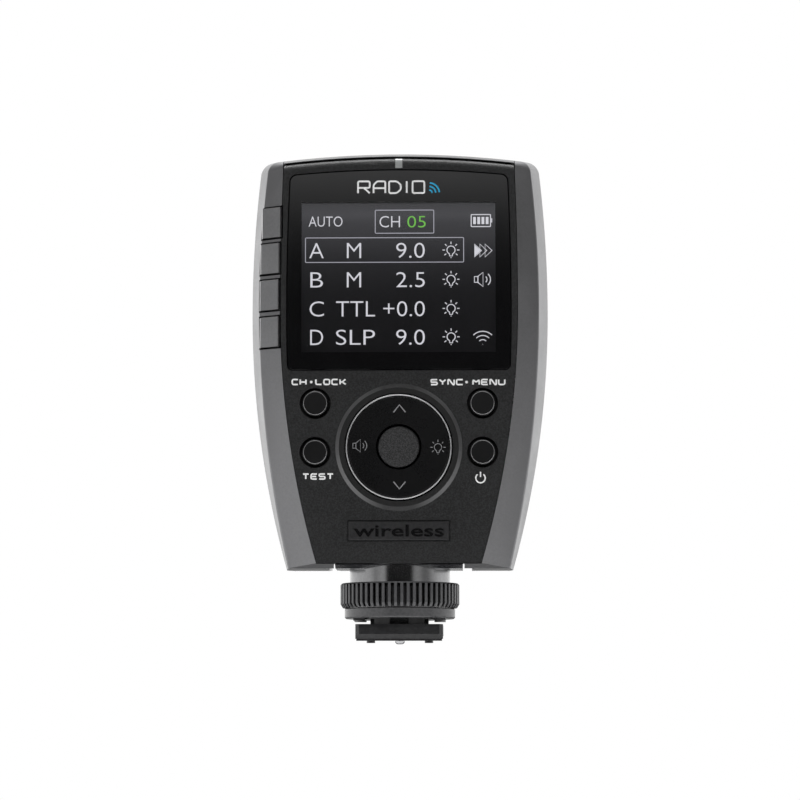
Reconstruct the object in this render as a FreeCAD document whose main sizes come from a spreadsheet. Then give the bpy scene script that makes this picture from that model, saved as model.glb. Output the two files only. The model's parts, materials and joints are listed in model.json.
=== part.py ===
import FreeCAD, Part
import math
import os
import re
import Sketcher

# Wireless flash trigger. The foot plate's underside is Z = 0 and the lock ring turns about Z.
# The display face looks along -Y, and +X is the operator's right.

doc = FreeCAD.newDocument("FlashTrigger")
sheet = doc.addObject("Spreadsheet::Sheet", "Sizes")

SIZES = {
    # outer skin: one closed outline per depth, from the face to the rear cap
    "face_y": -11.6, "face_half": 24.75, "face_low": 192, "face_high": 690, "face_floor": 14.5,
    "face_crown": 99.65, "face_corner": 0.8,
    "edge_y": -8.6, "edge_half": 29.3, "edge_low": 246, "edge_high": 250, "edge_floor": 13.55,
    "edge_crown": 100.75, "edge_corner": 2.5,
    "ridge_y": 0.4, "ridge_half": 31.4, "ridge_low": 202, "ridge_high": 260, "ridge_floor": 13.55,
    "ridge_crown": 102.35, "ridge_corner": 3.0,
    "back_y": 24.8, "back_half": 30.7, "back_low": 202, "back_high": 260, "back_floor": 14.65,
    "back_crown": 101.45, "back_corner": 3.6,
    "cap_y": 27.4, "cap_half": 28.2, "cap_low": 196, "cap_high": 260, "cap_floor": 16.35,
    "cap_crown": 98.55, "cap_corner": 3.0,
    "edge_round": 0.7, "ridge_round": 2.5, "back_round": 2.5, "cap_round": 1.2,
    # hollow inside the skin
    "hface_y": -9.4, "hface_half": 24.9, "hface_low": 192, "hface_high": 400, "hface_floor": 17.35,
    "hface_crown": 98.25, "hface_corner": 1.2,
    "hedge_y": -7.5, "hedge_half": 27.7, "hedge_low": 246, "hedge_high": 250, "hedge_floor": 17.35,
    "hedge_crown": 98.95, "hedge_corner": 1.6,
    "hridge_y": 0.4, "hridge_half": 29.6, "hridge_low": 202, "hridge_high": 260,
    "hridge_floor": 17.35, "hridge_crown": 100.35, "hridge_corner": 1.8,
    "hback_y": 24.0, "hback_half": 28.9, "hback_low": 202, "hback_high": 260, "hback_floor": 17.35,
    "hback_crown": 99.55, "hback_corner": 2.0,
    "hcap_y": 25.4, "hcap_half": 27.4, "hcap_low": 198, "hcap_high": 260, "hcap_floor": 18.25,
    "hcap_crown": 97.95, "hcap_corner": 1.6,
    "waist": 68.35, "crown_arc": 208.0, "rear_tilt": 6.3,
    # how the skin is divided
    "split_y": 9.4, "seam": 0.12, "strip_half": 25.5, "strip_floor": 95.35, "strip_front": -6.8,
    "strip_nose_half": 24.2, "strip_nose": -10.9, "tongue_half": 13.46, "tongue_top": 19.4,
    "tongue_front": -10.55, "slot_inner": 13.25, "slot_outer": 13.6, "slot_roof": 14.55,
    "slot_rise": 2.45, "slot_lead": 3.4, "slot_relief": 1.6, "floor_top": 17.35,
    # front cover
    "cover_thick": 2.2, "bar_round": 1.6, "collar_seat": 15.85, "collar_gap": 0.05,
    "boss_radius": 2.0, "boss_bore": 0.8, "screw_low_x": 18.6, "screw_low_z": 29.85,
    "screw_high_x": 15.0, "screw_high_z": 94.55,
    # window, display module
    "lens_half": 23.45, "lens_low": 373, "lens_high": 560, "lens_floor": 54.7,
    "lens_crown": 96.95, "lens_arc": 230, "lens_corner": 1.6, "lens_foot": 1.2, "lens_thick": 1.1,
    "lens_gap": 0.12, "gasket_thick": 0.15, "gasket_width": 1.2,
    "lcd_centre_x": -0.1, "lcd_half": 20.4, "lcd_bottom": 58.35, "lcd_top": 89.75,
    "panel_half": 21.4, "panel_bottom": 56.25, "panel_top": 91.55, "panel_thick": 1.8,
    "tray_wall": 0.6, "tray_floor": 0.8,
    # four-way pad and its gimbal
    "pad_z": 38.55, "pad_radius": 11.0, "pad_hole": 11.3, "pad_front": -12.55, "pad_back": -8.6,
    "pad_bevel": 0.6, "pad_flange": 12.2, "pad_flange_thick": 0.7, "pad_flange_front": -8.7,
    "plateau_radius": 13.3, "plateau_bevel": 0.9, "plateau_rise": 0.45,
    "select_radius": 4.3, "select_hole": 4.75, "select_front": -12.65,
    "select_flange": 4.9, "gimbal_y": -7.2, "gimbal_in": 5.3, "gimbal_out": 7.3, "gimbal_thick": 0.9,
    "pivot_radius": 0.4, "pivot_reach": 8.8, "bearing_gap": 0.05, "lug_near": 7.7, "lug_far": 9.0,
    "nub_place": 10.6, "nub_radius": 0.8, "switch_gap": 0.6,
    # round buttons
    "round_x": 17.4, "round_high_z": 47.7, "round_low_z": 37.5, "round_radius": 2.7,
    "round_hole": 3.25, "round_front": -12.3, "round_flange": 3.7, "stem_radius": 0.9,
    # group buttons in the left shell
    "group_left": 2.95, "group_right": 2.4, "group_high": 6.3, "group_gap": 0.38, "group_proud": 0.5,
    "group_turn": -33.4,
    "group_a_z": 85.95, "group_b_z": 78.35, "group_c_z": 70.65, "group_d_z": 62.85,
    "group_bevel": 0.8, "side_board_depth": 5.2, "side_board_thick": 0.8,
    # badge and light pipe
    "badge_half": 10.45, "badge_bottom": 19.2, "badge_top": 23.15, "badge_rise": 0.35,
    "badge_gap": 0.22, "badge_sunk": 0.35, "pipe_half": 0.75, "pipe_bottom": 97.3, "pipe_top": 99.7,
    "pipe_gap": 0.08,
    # boards and electronics
    "board_front": -5.2, "board_thick": 1.6, "board_half": 22.9, "board_bottom": 26.35,
    "board_top": 96.25, "switch_half": 1.5, "switch_high": 1.1, "plunger_radius": 0.8,
    "plunger_high": 0.5, "module_thick": 2.2, "buzzer_radius": 4.5, "buzzer_high": 2.0,
    "cell_half": 17.0, "cell_bottom": 36.35, "cell_top": 84.35, "cell_front": 0.8, "cell_thick": 7.0,
    "cradle_wall": 1.0, "cradle_floor": 1.0, "cradle_deep": 5.0, "cradle_leg": 1.5,
    # sockets on the right side
    "io_front": 6.2, "io_thick": 1.2, "io_inner": 19.8, "io_outer": 27.2, "io_bottom": 44.35,
    "io_top": 67.35, "usb_z": 51.35, "usb_long": 8.94, "usb_thick": 3.2, "usb_inner": 23.1,
    "usb_outer": 30.3, "jack_z": 61.85, "jack_body": 5.0, "jack_nose": 2.2, "jack_bore": 1.25,
    "jack_inner": 20.6, "jack_shoulder": 28.0, "jack_outer": 30.6, "jack_bore_deep": 9.0,
    # neck, foot and clamp
    "neck_radius": 10.6, "neck_bottom": 10.4, "neck_bore": 7.6, "column_radius": 9.0,
    "column_bottom": 3.15, "spigot_radius": 7.55, "spigot_top": 17.95, "wire_radius": 2.6,
    "foot_half": 9.1, "foot_deep": 9.0, "foot_thick": 2.0, "stem_half": 6.05, "stem_deep": 5.5,
    "stem_radius_front": 8.5, "stem_face": 5.2,
    "stem_groove": 1.95, "lip_drop": 1.05, "lip_thick": 1.8,
    "lip_bevel": 0.98, "lip_side_bevel": 0.75, "toe_drop": 1.44, "guide_x": 6.1,
    "guide_radius": 0.9, "guide_drop": 1.7, "clamp_radius": 11.6, "clamp_bottom": 3.35,
    "clamp_top": 5.52, "clamp_bore": 9.08, "clamp_bevel": 0.25, "pad_near": 7.2, "pad_far": 9.6,
    "pad_long": 6.0, "pad_under": 2.85, "washer_in": 9.4, "washer_out": 10.9, "washer_thick": 0.35,
    "ring_radius": 12.5, "ring_bottom": 5.6, "ring_top": 10.7, "ring_thread": 9.06,
    "ring_recess": 10.7, "ring_recess_floor": 7.95, "ribs": 60, "groove_deep": 0.9,
    "groove_wide": 0.84, "groove_cap": 0.3, "ring_low_bevel": 0.8, "ring_high_bevel": 0.3,
    "insulator_half": 5.0, "insulator_near": -4.0, "insulator_far": 7.8, "insulator_top": 3.0,
    "pin_radius": 1.05, "pin_drop": 1.98, "pin_flange": 1.6, "pin_flange_low": 0.75,
    "pin_flange_high": 1.3, "pin_bore": 1.8, "pin_bore_top": 4.6, "spring_radius": 1.25,
    "spring_wire": 0.2, "spring_pitch": 0.62, "terminal_half": 0.35, "terminal_step": 1.2,
    # fasteners
    "rear_panel_half": 17.0, "rear_panel_low": 42.35, "rear_panel_high": 40.0, "rear_panel_deep": 0.35,
    "case_head": 1.9, "case_head_high": 1.3, "case_shank": 0.75, "neck_ring": 9.2, "neck_head": 1.2,
    "neck_head_high": 0.9, "neck_shank": 0.6,
}
for row, (alias, value) in enumerate(SIZES.items(), 1):
    sheet.set(f"A{row}", alias)
    sheet.set(f"B{row}", str(value))
    sheet.setAlias(f"B{row}", alias)
doc.recompute()

vector = FreeCAD.Vector
parts = {}


def sized(text):
    """Turn plain size names into references to the sheet."""
    return re.sub(r"\b([a-z]\w*_\w+|waist|seam|ribs)\b", r"Sizes.\1", str(text))


def value(text):
    return float(sheet.evalExpression(sized(text)))


def bind(item, **fields):
    for field, text in fields.items():
        item.setExpression(field.replace("__", "."), sized(text))
    return item


def place(item, x="0", y="0", z="0"):
    return bind(item, Placement__Base__x=x, Placement__Base__y=y, Placement__Base__z=z)


def box(name, x, y, z):
    """A block between pairs of limits."""
    item = doc.addObject("Part::Box", name)
    bind(item, Length=f"({x[1]}) - ({x[0]})", Width=f"({y[1]}) - ({y[0]})",
         Height=f"({z[1]}) - ({z[0]})")
    return place(item, x[0], y[0], z[0])


def rod(name, radius, start, length, axis="z", radius_far=None):
    """A cylinder, or a cone when radius_far is given, from start along +axis."""
    item = doc.addObject("Part::Cylinder" if radius_far is None else "Part::Cone", name)
    turn = {"x": FreeCAD.Rotation(vector(0, 1, 0), 90), "y": FreeCAD.Rotation(vector(1, 0, 0), -90),
            "z": FreeCAD.Rotation()}[axis]
    item.Placement = FreeCAD.Placement(vector(), turn)
    if radius_far is None:
        bind(item, Radius=radius)
    else:
        bind(item, Radius1=radius, Radius2=radius_far)
    bind(item, Height=length)
    return place(item, *start)


def fuse(name, *items):
    item = doc.addObject("Part::MultiFuse", name)
    item.Shapes = list(items)
    item.Refine = True
    return item


def group(name, *items):
    """Keep separate solids together in one node."""
    item = doc.addObject("Part::Compound", name)
    item.Links = list(items)
    return item


def common(name, *items):
    item = doc.addObject("Part::MultiCommon", name)
    item.Shapes = list(items)
    return item


def cut(name, base, *tools):
    item = doc.addObject("Part::Cut", name)
    item.Base = base
    item.Tool = tools[0] if len(tools) == 1 else fuse(name + "_tools", *tools)
    return item


def soften(name, base, radius, chosen, kind="Part::Fillet"):
    """Round or bevel the edges that the test picks."""
    doc.recompute()
    size = value(radius)
    item = doc.addObject(kind, name)
    item.Base = base
    item.Edges = [(i, size, size) for i, edge in enumerate(base.Shape.Edges, 1)
                  if chosen(edge.BoundBox)]
    return item


def keep(name, item):
    """Register an object as a finished sub-part."""
    item.Label = name
    parts[name] = item
    return item


def outline(name, half, low, high, floor, crown, crown_arc, corner, y="0", tilt="0", narrow="0"):
    """A closed front outline: flat floor, bowed sides, arched crown, rounded upper corners."""
    half, floor = f"({half} - ({narrow}))", f"({floor} + ({narrow}))"
    crown = f"({crown} - ({narrow}))"
    foot = f"({half} - ({low} - sqrt({low}^2 - (waist - {floor})^2)))"
    sketch = doc.addObject("Sketcher::SketchObject", name)
    sketch.Placement.Rotation = FreeCAD.Rotation(vector(1, 0, 0), 90 + value(tilt))
    place(sketch, "0", y, "0")
    bind(sketch, Placement__Rotation__Angle=f"90 + {tilt}")
    h, rl, rh, zb, zt, rt, rc, xb = (value(v) for v in (half, low, high, floor, crown, crown_arc,
                                                       corner, foot))
    zm = value("waist")
    side, top = vector(h - rh, zm, 0), vector(0, zt - rt, 0)
    gap = (top - side).Length
    along = ((rh - rc) ** 2 - (rt - rc) ** 2 + gap ** 2) / (2 * gap)
    unit = (top - side).normalize()
    across = math.sqrt((rh - rc) ** 2 - along ** 2)
    middle = side + unit * along
    knuckle = max((middle + vector(-unit.y, unit.x, 0) * across * s for s in (1, -1)),
                  key=lambda p: p.x)
    leave = side + (knuckle - side) * (rh / (rh - rc))
    meet = top + (knuckle - top) * (rt / (rt - rc))

    def flip(p):
        return vector(-p.x, p.y, 0)

    def arc(centre, radius, start, end):
        a, b = (math.atan2(p.y - centre.y, p.x - centre.x) for p in (start, end))
        return Part.ArcOfCircle(Part.Circle(centre, vector(0, 0, 1), radius), a,
                                b if b > a else b + 2 * math.pi)

    joint, base, low_centre = vector(h, zm, 0), vector(xb, zb, 0), vector(h - rl, zm, 0)
    sketch.addGeometry([
        Part.LineSegment(flip(base), base), arc(low_centre, rl, base, joint),
        arc(side, rh, joint, leave), arc(knuckle, rc, leave, meet), arc(top, rt, meet, flip(meet)),
        arc(flip(knuckle), rc, flip(meet), flip(leave)), arc(flip(side), rh, flip(leave), flip(joint)),
        arc(flip(low_centre), rl, flip(joint), flip(base))], False)
    rule = Sketcher.Constraint
    sketch.addConstraint([rule("Coincident", a, 2, b, 1) for a, b in ((0, 1), (1, 2), (6, 7), (7, 0))]
                         + [rule("Tangent", a, 2, a + 1, 1) for a in (2, 3, 4, 5)]
                         + [rule("PointOnObject", 4, 3, -2)])
    for made, text in (
            (rule("DistanceX", -1, 1, 0, 2, xb), foot), (rule("DistanceY", -1, 1, 0, 2, zb), floor),
            (rule("DistanceX", 0, 1, -1, 1, xb), foot), (rule("DistanceY", -1, 1, 0, 1, zb), floor),
            (rule("DistanceX", -1, 1, 1, 2, h), half), (rule("DistanceX", 7, 1, -1, 1, h), half),
            (rule("DistanceY", -1, 1, 1, 2, zm), "waist"), (rule("DistanceY", -1, 1, 7, 1, zm), "waist"),
            (rule("Radius", 1, rl), low), (rule("Radius", 7, rl), low),
            (rule("Radius", 2, rh), high), (rule("Radius", 6, rh), high),
            (rule("DistanceY", -1, 1, 2, 3, zm), "waist"), (rule("DistanceY", -1, 1, 6, 3, zm), "waist"),
            (rule("Radius", 3, rc), corner), (rule("Radius", 5, rc), corner),
            (rule("Radius", 4, rt), crown_arc),
            (rule("DistanceY", 4, 3, -1, 1, rt - zt), f"{crown_arc} - {crown}")):
        sketch.setExpression(f"Constraints[{sketch.addConstraint(made)}]", sized(text))
    return sketch


def section(prefix, tilt="0", narrow="0"):
    return outline(f"{prefix}_outline", *(f"{prefix}_{dim}" for dim in ("half", "low", "high", "floor",
                   "crown")), "crown_arc", f"{prefix}_corner", f"{prefix}_y", tilt, narrow)


def loft(name, *sections):
    item = doc.addObject("Part::Loft", name)
    item.Sections = list(sections)
    item.Solid = True
    item.Ruled = True
    return item


def slab(name, sketch, depth):
    """Extrude an outline towards +Y."""
    item = doc.addObject("Part::Extrusion", name)
    item.Base = sketch
    item.DirMode = "Custom"
    item.Dir = vector(0, 1, 0)
    item.Solid = True
    return bind(item, LengthFwd=depth)


# ---- outer skin and its division -------------------------------------------------------------
face = section("face")
sharp_skin = loft("sharp_skin", face, section("edge"), section("ridge"),
                  section("back", "rear_tilt"), section("cap", "rear_tilt"))
doc.recompute()
outer_skin = doc.addObject("Part::Fillet", "outer_skin")
outer_skin.Base = sharp_skin
outer_skin.Edges = [
    (i, value(f"{prefix}_round"), value(f"{prefix}_round"))
    for prefix, tilt in (("edge", 0), ("ridge", 0), ("back", "rear_tilt"), ("cap", "rear_tilt"))
    for i, edge in enumerate(sharp_skin.Shape.Edges, 1)
    if all(abs(v.Y + v.Z * math.tan(math.radians(value(tilt))) - value(f"{prefix}_y")) < 0.01
           for v in edge.Vertexes)]
skin = cut("skin", outer_skin,
           loft("skin_hollow", section("hface"), section("hedge"), section("hridge"),
                section("hback", "rear_tilt"), section("hcap", "rear_tilt")))

strip_z, tongue_z = ("strip_floor", "130"), ("5", "tongue_top")
rear_zone = fuse("rear_zone",
                 box("rear_block", ("-50", "50"), ("split_y", "40"), ("5", "130")),
                 box("strip_block", ("-strip_half", "strip_half"), ("strip_front", "split_y"), strip_z),
                 box("strip_nose_block", ("-strip_nose_half", "strip_nose_half"),
                     ("strip_nose", "strip_front"), strip_z),
                 box("tongue_block", ("-tongue_half", "tongue_half"), ("tongue_front", "split_y"),
                     tongue_z))
rear_keepout = fuse(
    "rear_keepout",
    box("rear_keepout_block", ("-50", "50"), ("split_y - seam", "40"), ("5", "130")),
    box("strip_keepout", ("-strip_half - seam", "strip_half + seam"),
        ("strip_front - seam", "split_y"), ("strip_floor - seam", "130")),
    box("strip_nose_keepout", ("-strip_nose_half - seam", "strip_nose_half + seam"),
        ("-30", "strip_front"), ("strip_floor - seam", "130")),
    box("tongue_keepout", ("-tongue_half - seam", "tongue_half + seam"),
        ("-30", "split_y"), ("5", "tongue_top + seam")))
cover_blank = slab("cover_blank", face, "cover_thick")
cover_keepout = slab("cover_keepout",
                     outline("cover_keepout_outline", "face_half", "face_low", "face_high",
                             "face_floor", "face_crown", "crown_arc", "face_corner + seam",
                             "face_y - 1", "0", "-seam"), "cover_thick + 1 + seam")
collar_seat = rod("collar_seat", "neck_radius + collar_gap", ("0", "0", "5"), "collar_seat - 5")

# ---- where the group buttons sit on the left front facet -------------------------------------
group_places = {}
for letter in "abcd":
    z = f"group_{letter}_z"
    inner = f"(face_half - ({z} - waist)^2 / (2 * face_high))"
    outer = f"(edge_half - ({z} - waist)^2 / (2 * edge_high))"
    group_places[letter] = (f"-({inner} + {outer}) / 2", "(face_y + edge_y) / 2", z)


def on_facet(name, item, letter):
    """Set a piece, drawn about the origin with -Y outwards, onto the left shell's front facet."""
    item.Placement.Rotation = FreeCAD.Rotation(vector(0, 0, 1), value("group_turn"))
    bind(item, Placement__Rotation__Angle="group_turn")
    return place(item, *group_places[letter])


def facet_block(name, grow, y, letter):
    item = box(name, (f"-group_left - {grow}", f"group_right + {grow}"), y,
               (f"-group_high / 2 - {grow}", f"group_high / 2 + {grow}"))
    return on_facet(name + "_set", group(name + "_group", item), letter)


group_openings = [facet_block(f"group_opening_{c}", "group_gap", ("-3", "3.8"), c) for c in "abcd"]

# ---- front cover -----------------------------------------------------------------------------
cover_y, cover_back = "face_y", "(face_y + cover_thick)"
crown_disc = soften("crown_disc", rod("crown_rod", "crown_arc", ("0", cover_y, "face_crown - crown_arc"),
                                      "cover_thick", "y"), "bar_round",
                    lambda b: b.YMax < value("face_y") + 0.01)
cover_round = common("cover_round", cover_blank, crown_disc)


def lens_outline(name, grow):
    return outline(name, "lens_half", "lens_low", "lens_high", "lens_floor", "lens_crown", "lens_arc",
                   "lens_corner", "face_y", "0", f"-({grow})")



def lens_slab(name, grow, thick):
    """A slab of the window's outline with rounded lower corners."""
    return soften(name, slab(f"{name}_sharp", lens_outline(f"{name}_outline", grow), thick), "lens_foot",
                  lambda b: b.ZMax < value("lens_floor") + 0.5 and b.YMax - b.YMin > 0.05)


lens_seat = lens_slab("lens_seat", "lens_gap", "lens_thick + gasket_thick")
window = box("window", ("lcd_centre_x - lcd_half - 0.4", "lcd_centre_x + lcd_half + 0.4"),
             (cover_y, cover_back), ("lcd_bottom - 0.4", "lcd_top + 0.4"))
plateau = rod("plateau", "plateau_radius - plateau_bevel", ("0", "face_y - plateau_rise", "pad_z"),
              "plateau_rise", "y", "plateau_radius")
pad_opening = rod("pad_opening", "pad_hole", ("0", "face_y - 2", "pad_z"), "cover_thick + 4", "y")
round_places = {"channel": ("-round_x", "round_high_z"), "test": ("-round_x", "round_low_z"),
                "sync": ("round_x", "round_high_z"), "power": ("round_x", "round_low_z")}
round_openings = [rod(f"opening_{n}", "round_hole", (x, "face_y - 2", z), "cover_thick + 4", "y")
                  for n, (x, z) in round_places.items()]
pipe_slot = box("pipe_slot", ("-pipe_half - pipe_gap", "pipe_half + pipe_gap"),
                ("face_y - 1", f"{cover_back} + 1"), ("pipe_bottom - pipe_gap", "face_crown + 1"))
screw_places = [(sx + x, z) for x, z in (("screw_low_x", "screw_low_z"), ("screw_high_x", "screw_high_z"))
                for sx in ("-", "")]
bosses = [rod(f"cover_boss_{i}", "boss_radius", (x, cover_back, z),
              f"board_front - {cover_back}", "y") for i, (x, z) in enumerate(screw_places)]
boss_bores = [rod(f"cover_bore_{i}", "boss_bore", (x, f"{cover_back} + 0.3", z), "6", "y")
              for i, (x, z) in enumerate(screw_places)]
badge_seat = box("badge_seat", ("-badge_half - badge_gap", "badge_half + badge_gap"),
                 ("face_y - 1", "face_y + badge_sunk"),
                 ("badge_bottom - badge_gap", "badge_top + badge_gap"))
keep("front_cover", cut("front_cover", fuse("cover_solid", cover_round, plateau, *bosses),
                        lens_seat, window, pad_opening, collar_seat, pipe_slot, badge_seat,
                        *round_openings, *boss_bores, *group_openings))

# ---- side shells -----------------------------------------------------------------------------
slot_wide = "(slot_outer - slot_inner)"
slots = []
for side, narrow, relief in (("left", (f"-{slot_wide}", "0"), (f"-{slot_wide} - slot_relief", "0")),
                             ("right", ("0", slot_wide), ("0", f"{slot_wide} + slot_relief"))):
    slot = group(f"{side}_slot", box(f"{side}_slot_front", narrow, ("-2", "50"), ("-8", "0")),
                 box(f"{side}_slot_relief", relief, ("slot_lead", "50"), ("-8", "0")))
    slot.Placement.Rotation = FreeCAD.Rotation(vector(1, 0, 0), value("slot_rise"))
    bind(slot, Placement__Rotation__Angle="slot_rise")
    slots.append(place(slot, "-slot_inner" if side == "left" else "slot_inner", "face_y", "slot_roof"))
left_side = box("left_side", ("-50", "-seam"), ("-30", "split_y"), ("5", "130"))
right_side = box("right_side", ("seam", "50"), ("-30", "split_y"), ("5", "130"))
keep("left_shell", cut("left_shell", common("left_skin", skin, left_side), rear_keepout,
                       cover_keepout, slots[0], *group_openings))
usb_centre_y = "(io_front - usb_thick / 2)"
jack_centre_y = "(io_front - jack_body / 2)"


def usb_slot(name, grow, start, end):
    """A flat slot with round ends, long along Z, running along X."""
    reach = "(usb_long / 2 - usb_thick / 2)"
    half = f"(usb_thick / 2 + {grow})"
    return fuse(name,
                box(name + "_mid", (start, end), (f"{usb_centre_y} - {half}", f"{usb_centre_y} + {half}"),
                    (f"usb_z - {reach}", f"usb_z + {reach}")),
                *(rod(f"{name}_end_{s}", half, (start, usb_centre_y, f"usb_z {s} {reach}"),
                      f"{end} - ({start})", "x") for s in "+-"))


keep("right_shell", cut("right_shell", common("right_skin", skin, right_side), rear_keepout,
                        cover_keepout, slots[1], usb_slot("usb_opening", "0.25", "usb_inner", "40"),
                        rod("jack_opening", "jack_nose + 0.15", ("jack_shoulder", jack_centre_y,
                                                                 "jack_z"), "10", "x")))

# ---- rear housing ----------------------------------------------------------------------------
board_back = "(board_front + board_thick)"
rear_skin = cut("rear_skin", common("rear_common", skin, rear_zone), cover_keepout, collar_seat,
                *slots)
posts = [common(f"rear_post_{i}", outer_skin,
                rod(f"rear_post_rod_{i}", "boss_radius + 0.4", (x, board_back, z), "30", "y"))
         for i, (x, z) in enumerate(screw_places)]


def cap_face(z):
    """Depth of the tilted rear face at a height."""
    return f"(cap_y - ({z}) * tan(rear_tilt * 1deg))"


head_seats = [rod(f"head_seat_{i}", "case_head + 0.25", (x, f"{cap_face(z)} - 2.2", z), "6", "y")
              for i, (x, z) in enumerate(screw_places)]
post_bores = [rod(f"post_bore_{i}", "case_shank + 0.3", (x, f"{board_back} - 1", z), "40", "y")
              for i, (x, z) in enumerate(screw_places)]
neck_places = [(f"{sx}neck_ring * 0.7071", f"{sy}neck_ring * 0.7071") for sx in ("-", "") for sy in ("-", "")]
floor_bores = [rod(f"floor_bore_{i}", "neck_shank + 0.1", (x, y, "collar_seat - 1"), "5")
               for i, (x, y) in enumerate(neck_places)]
rear_panel = box("rear_panel", ("-rear_panel_half", "rear_panel_half"), ("0", "3"),
                 ("0", "rear_panel_high"))
rear_panel.Placement.Rotation = FreeCAD.Rotation(vector(1, 0, 0), value("rear_tilt"))
bind(rear_panel, Placement__Rotation__Angle="rear_tilt")
place(rear_panel, "-rear_panel_half", f"{cap_face('rear_panel_low')} - rear_panel_deep", "rear_panel_low")
sound_holes = [rod(f"sound_hole_{i}_{k}", "0.5", (f"8 + 2.2 * {i - 1.5}",
                                                    f"{cap_face(30)} - 3", f"27.3 + 2.2 * {k}"),
                   "9", "y") for i in range(4) for k in range(2)]
keep("rear_housing", cut("rear_housing", fuse("rear_solid", rear_skin, *posts), rear_panel,
                         *sound_holes,
                         rod("floor_hole", "spigot_radius + 0.05", ("0", "0", "collar_seat - 1"), "5"),
                         *head_seats, *post_bores, *floor_bores))

# ---- window and display module ---------------------------------------------------------------
keep("display_lens", soften("display_lens", lens_slab("lens_blank", "0", "lens_thick"), "0.15",
                            lambda b: b.YMax < value("face_y") + 0.01, "Part::Chamfer"))
gasket_y = "(face_y + lens_thick)"
gasket_slab = lens_slab("gasket_slab", "-0.1", "gasket_thick")
place(gasket_slab, "0", "lens_thick", "0")
keep("lens_gasket", cut("lens_gasket", gasket_slab,
                        box("gasket_window", ("lcd_centre_x - lcd_half - gasket_width / 2",
                                              "lcd_centre_x + lcd_half + gasket_width / 2"),
                            ("-30", "-5"), ("lcd_bottom - gasket_width / 2",
                                             "lcd_top + gasket_width / 2"))))
keep("lcd_panel", box("lcd_panel", ("-panel_half", "panel_half"),
                      (f"{cover_back} + 0.05", f"{cover_back} + 0.05 + panel_thick"),
                      ("panel_bottom", "panel_top")))
keep("lcd_tray", cut("lcd_tray",
                     box("tray_block", ("-panel_half - tray_wall", "panel_half + tray_wall"),
                         (f"{cover_back} + 0.02", "board_front"),
                         ("panel_bottom - tray_wall", "panel_top + tray_wall")),
                     box("tray_pocket", ("-panel_half", "panel_half"),
                         (f"{cover_back} - 1", f"{cover_back} + 0.05 + panel_thick"),
                         ("panel_bottom", "panel_top")),
                     box("tray_relief", ("-panel_half + 1.5", "panel_half - 1.5"),
                         (f"{cover_back} + panel_thick + tray_floor", "board_front + 1"),
                         ("panel_bottom + 1.5", "panel_top - 1.5"))))

# ---- badge plate and light pipe --------------------------------------------------------------
badge_block = box("badge_block", ("-badge_half", "badge_half"),
                  ("face_y - badge_rise", "face_y + badge_sunk"), ("badge_bottom", "badge_top"))
keep("badge_frame", soften("badge_frame", badge_block, "0.25",
                           lambda b: b.YMax < value("face_y - badge_rise") + 0.01, "Part::Chamfer"))
pipe_front = box("pipe_front", ("-pipe_half", "pipe_half"), ("face_y - 0.03", f"{cover_back} - 0.1"),
                 ("pipe_bottom", "pipe_top"))
pipe_nose = soften("pipe_nose", pipe_front, "bar_round",
                   lambda b: b.YMax < value("face_y") and b.ZMin > value("pipe_top") - 0.01)
keep("status_light_pipe", fuse("status_light_pipe", pipe_nose,
                               box("pipe_tail", ("-pipe_half", "pipe_half"),
                                   (f"{cover_back} - 0.6", "board_front - 0.5"),
                                   ("pipe_bottom", "97.7"))))

# ---- four-way pad, gimbal and centre button ----------------------------------------------------
pad_disc = rod("pad_disc", "pad_radius", ("0", "pad_front", "pad_z"), "pad_back - pad_front", "y")
pad_round = soften("pad_round", pad_disc, "pad_bevel",
                   lambda b: b.YMax < value("pad_front") + 0.01, "Part::Chamfer")
pad_skirt = rod("pad_skirt", "pad_flange", ("0", "pad_flange_front", "pad_z"), "pad_flange_thick", "y")
pad_behind = "(pad_flange_front + pad_flange_thick)"
nubs = [rod(f"pad_nub_{i}", "nub_radius", (x, pad_behind, f"pad_z {z}"),
            f"board_front - switch_high - plunger_high - switch_gap - {pad_behind}", "y")
        for i, (x, z) in enumerate((("0", "+ nub_place"), ("0", "- nub_place"),
                                    ("nub_place", ""), ("-nub_place", "")))]
lugs = [box(f"pad_lug_{i}", ("-0.9", "0.9"), (pad_behind, "gimbal_y + 0.8"),
            (f"pad_z {s} ({a})", f"pad_z {s} ({b})"))
        for i, (s, a, b) in enumerate((("+", "lug_near", "lug_far"), ("-", "lug_far", "lug_near")))]
pad_pivot = rod("pad_pivot_bore", "pivot_radius + bearing_gap", ("0", "gimbal_y", "pad_z - 9.5"), "19")
keep("dpad_ring", cut("dpad_ring", fuse("pad_solid", pad_round, pad_skirt, *nubs, *lugs), pad_pivot,
                      rod("pad_hole_cut", "select_hole", ("0", "-30", "pad_z"), "30", "y"),
                      rod("pad_relief", "select_flange + 0.5", ("0", "pad_back - 1.2", "pad_z"), "4", "y")))

gimbal_front = "(gimbal_y - gimbal_thick / 2)"
gimbal_disc = rod("gimbal_disc", "gimbal_out", ("0", gimbal_front, "pad_z"), "gimbal_thick", "y")
gimbal_hole = rod("gimbal_hole", "gimbal_in", ("0", f"{gimbal_front} - 1", "pad_z"), "gimbal_thick + 2",
                  "y")
pivot_long = "(pivot_reach - gimbal_out + 0.6)"
pivots = [rod("pivot_right", "pivot_radius", ("gimbal_out - 0.6", "gimbal_y", "pad_z"), pivot_long, "x"),
          rod("pivot_left", "pivot_radius", ("-pivot_reach", "gimbal_y", "pad_z"), pivot_long, "x"),
          rod("pivot_up", "pivot_radius", ("0", "gimbal_y", "pad_z + gimbal_out - 0.6"), pivot_long),
          rod("pivot_down", "pivot_radius", ("0", "gimbal_y", "pad_z - pivot_reach"), pivot_long)]
keep("dpad_carrier", fuse("dpad_carrier", cut("gimbal_ring", gimbal_disc, gimbal_hole), *pivots))
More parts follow.
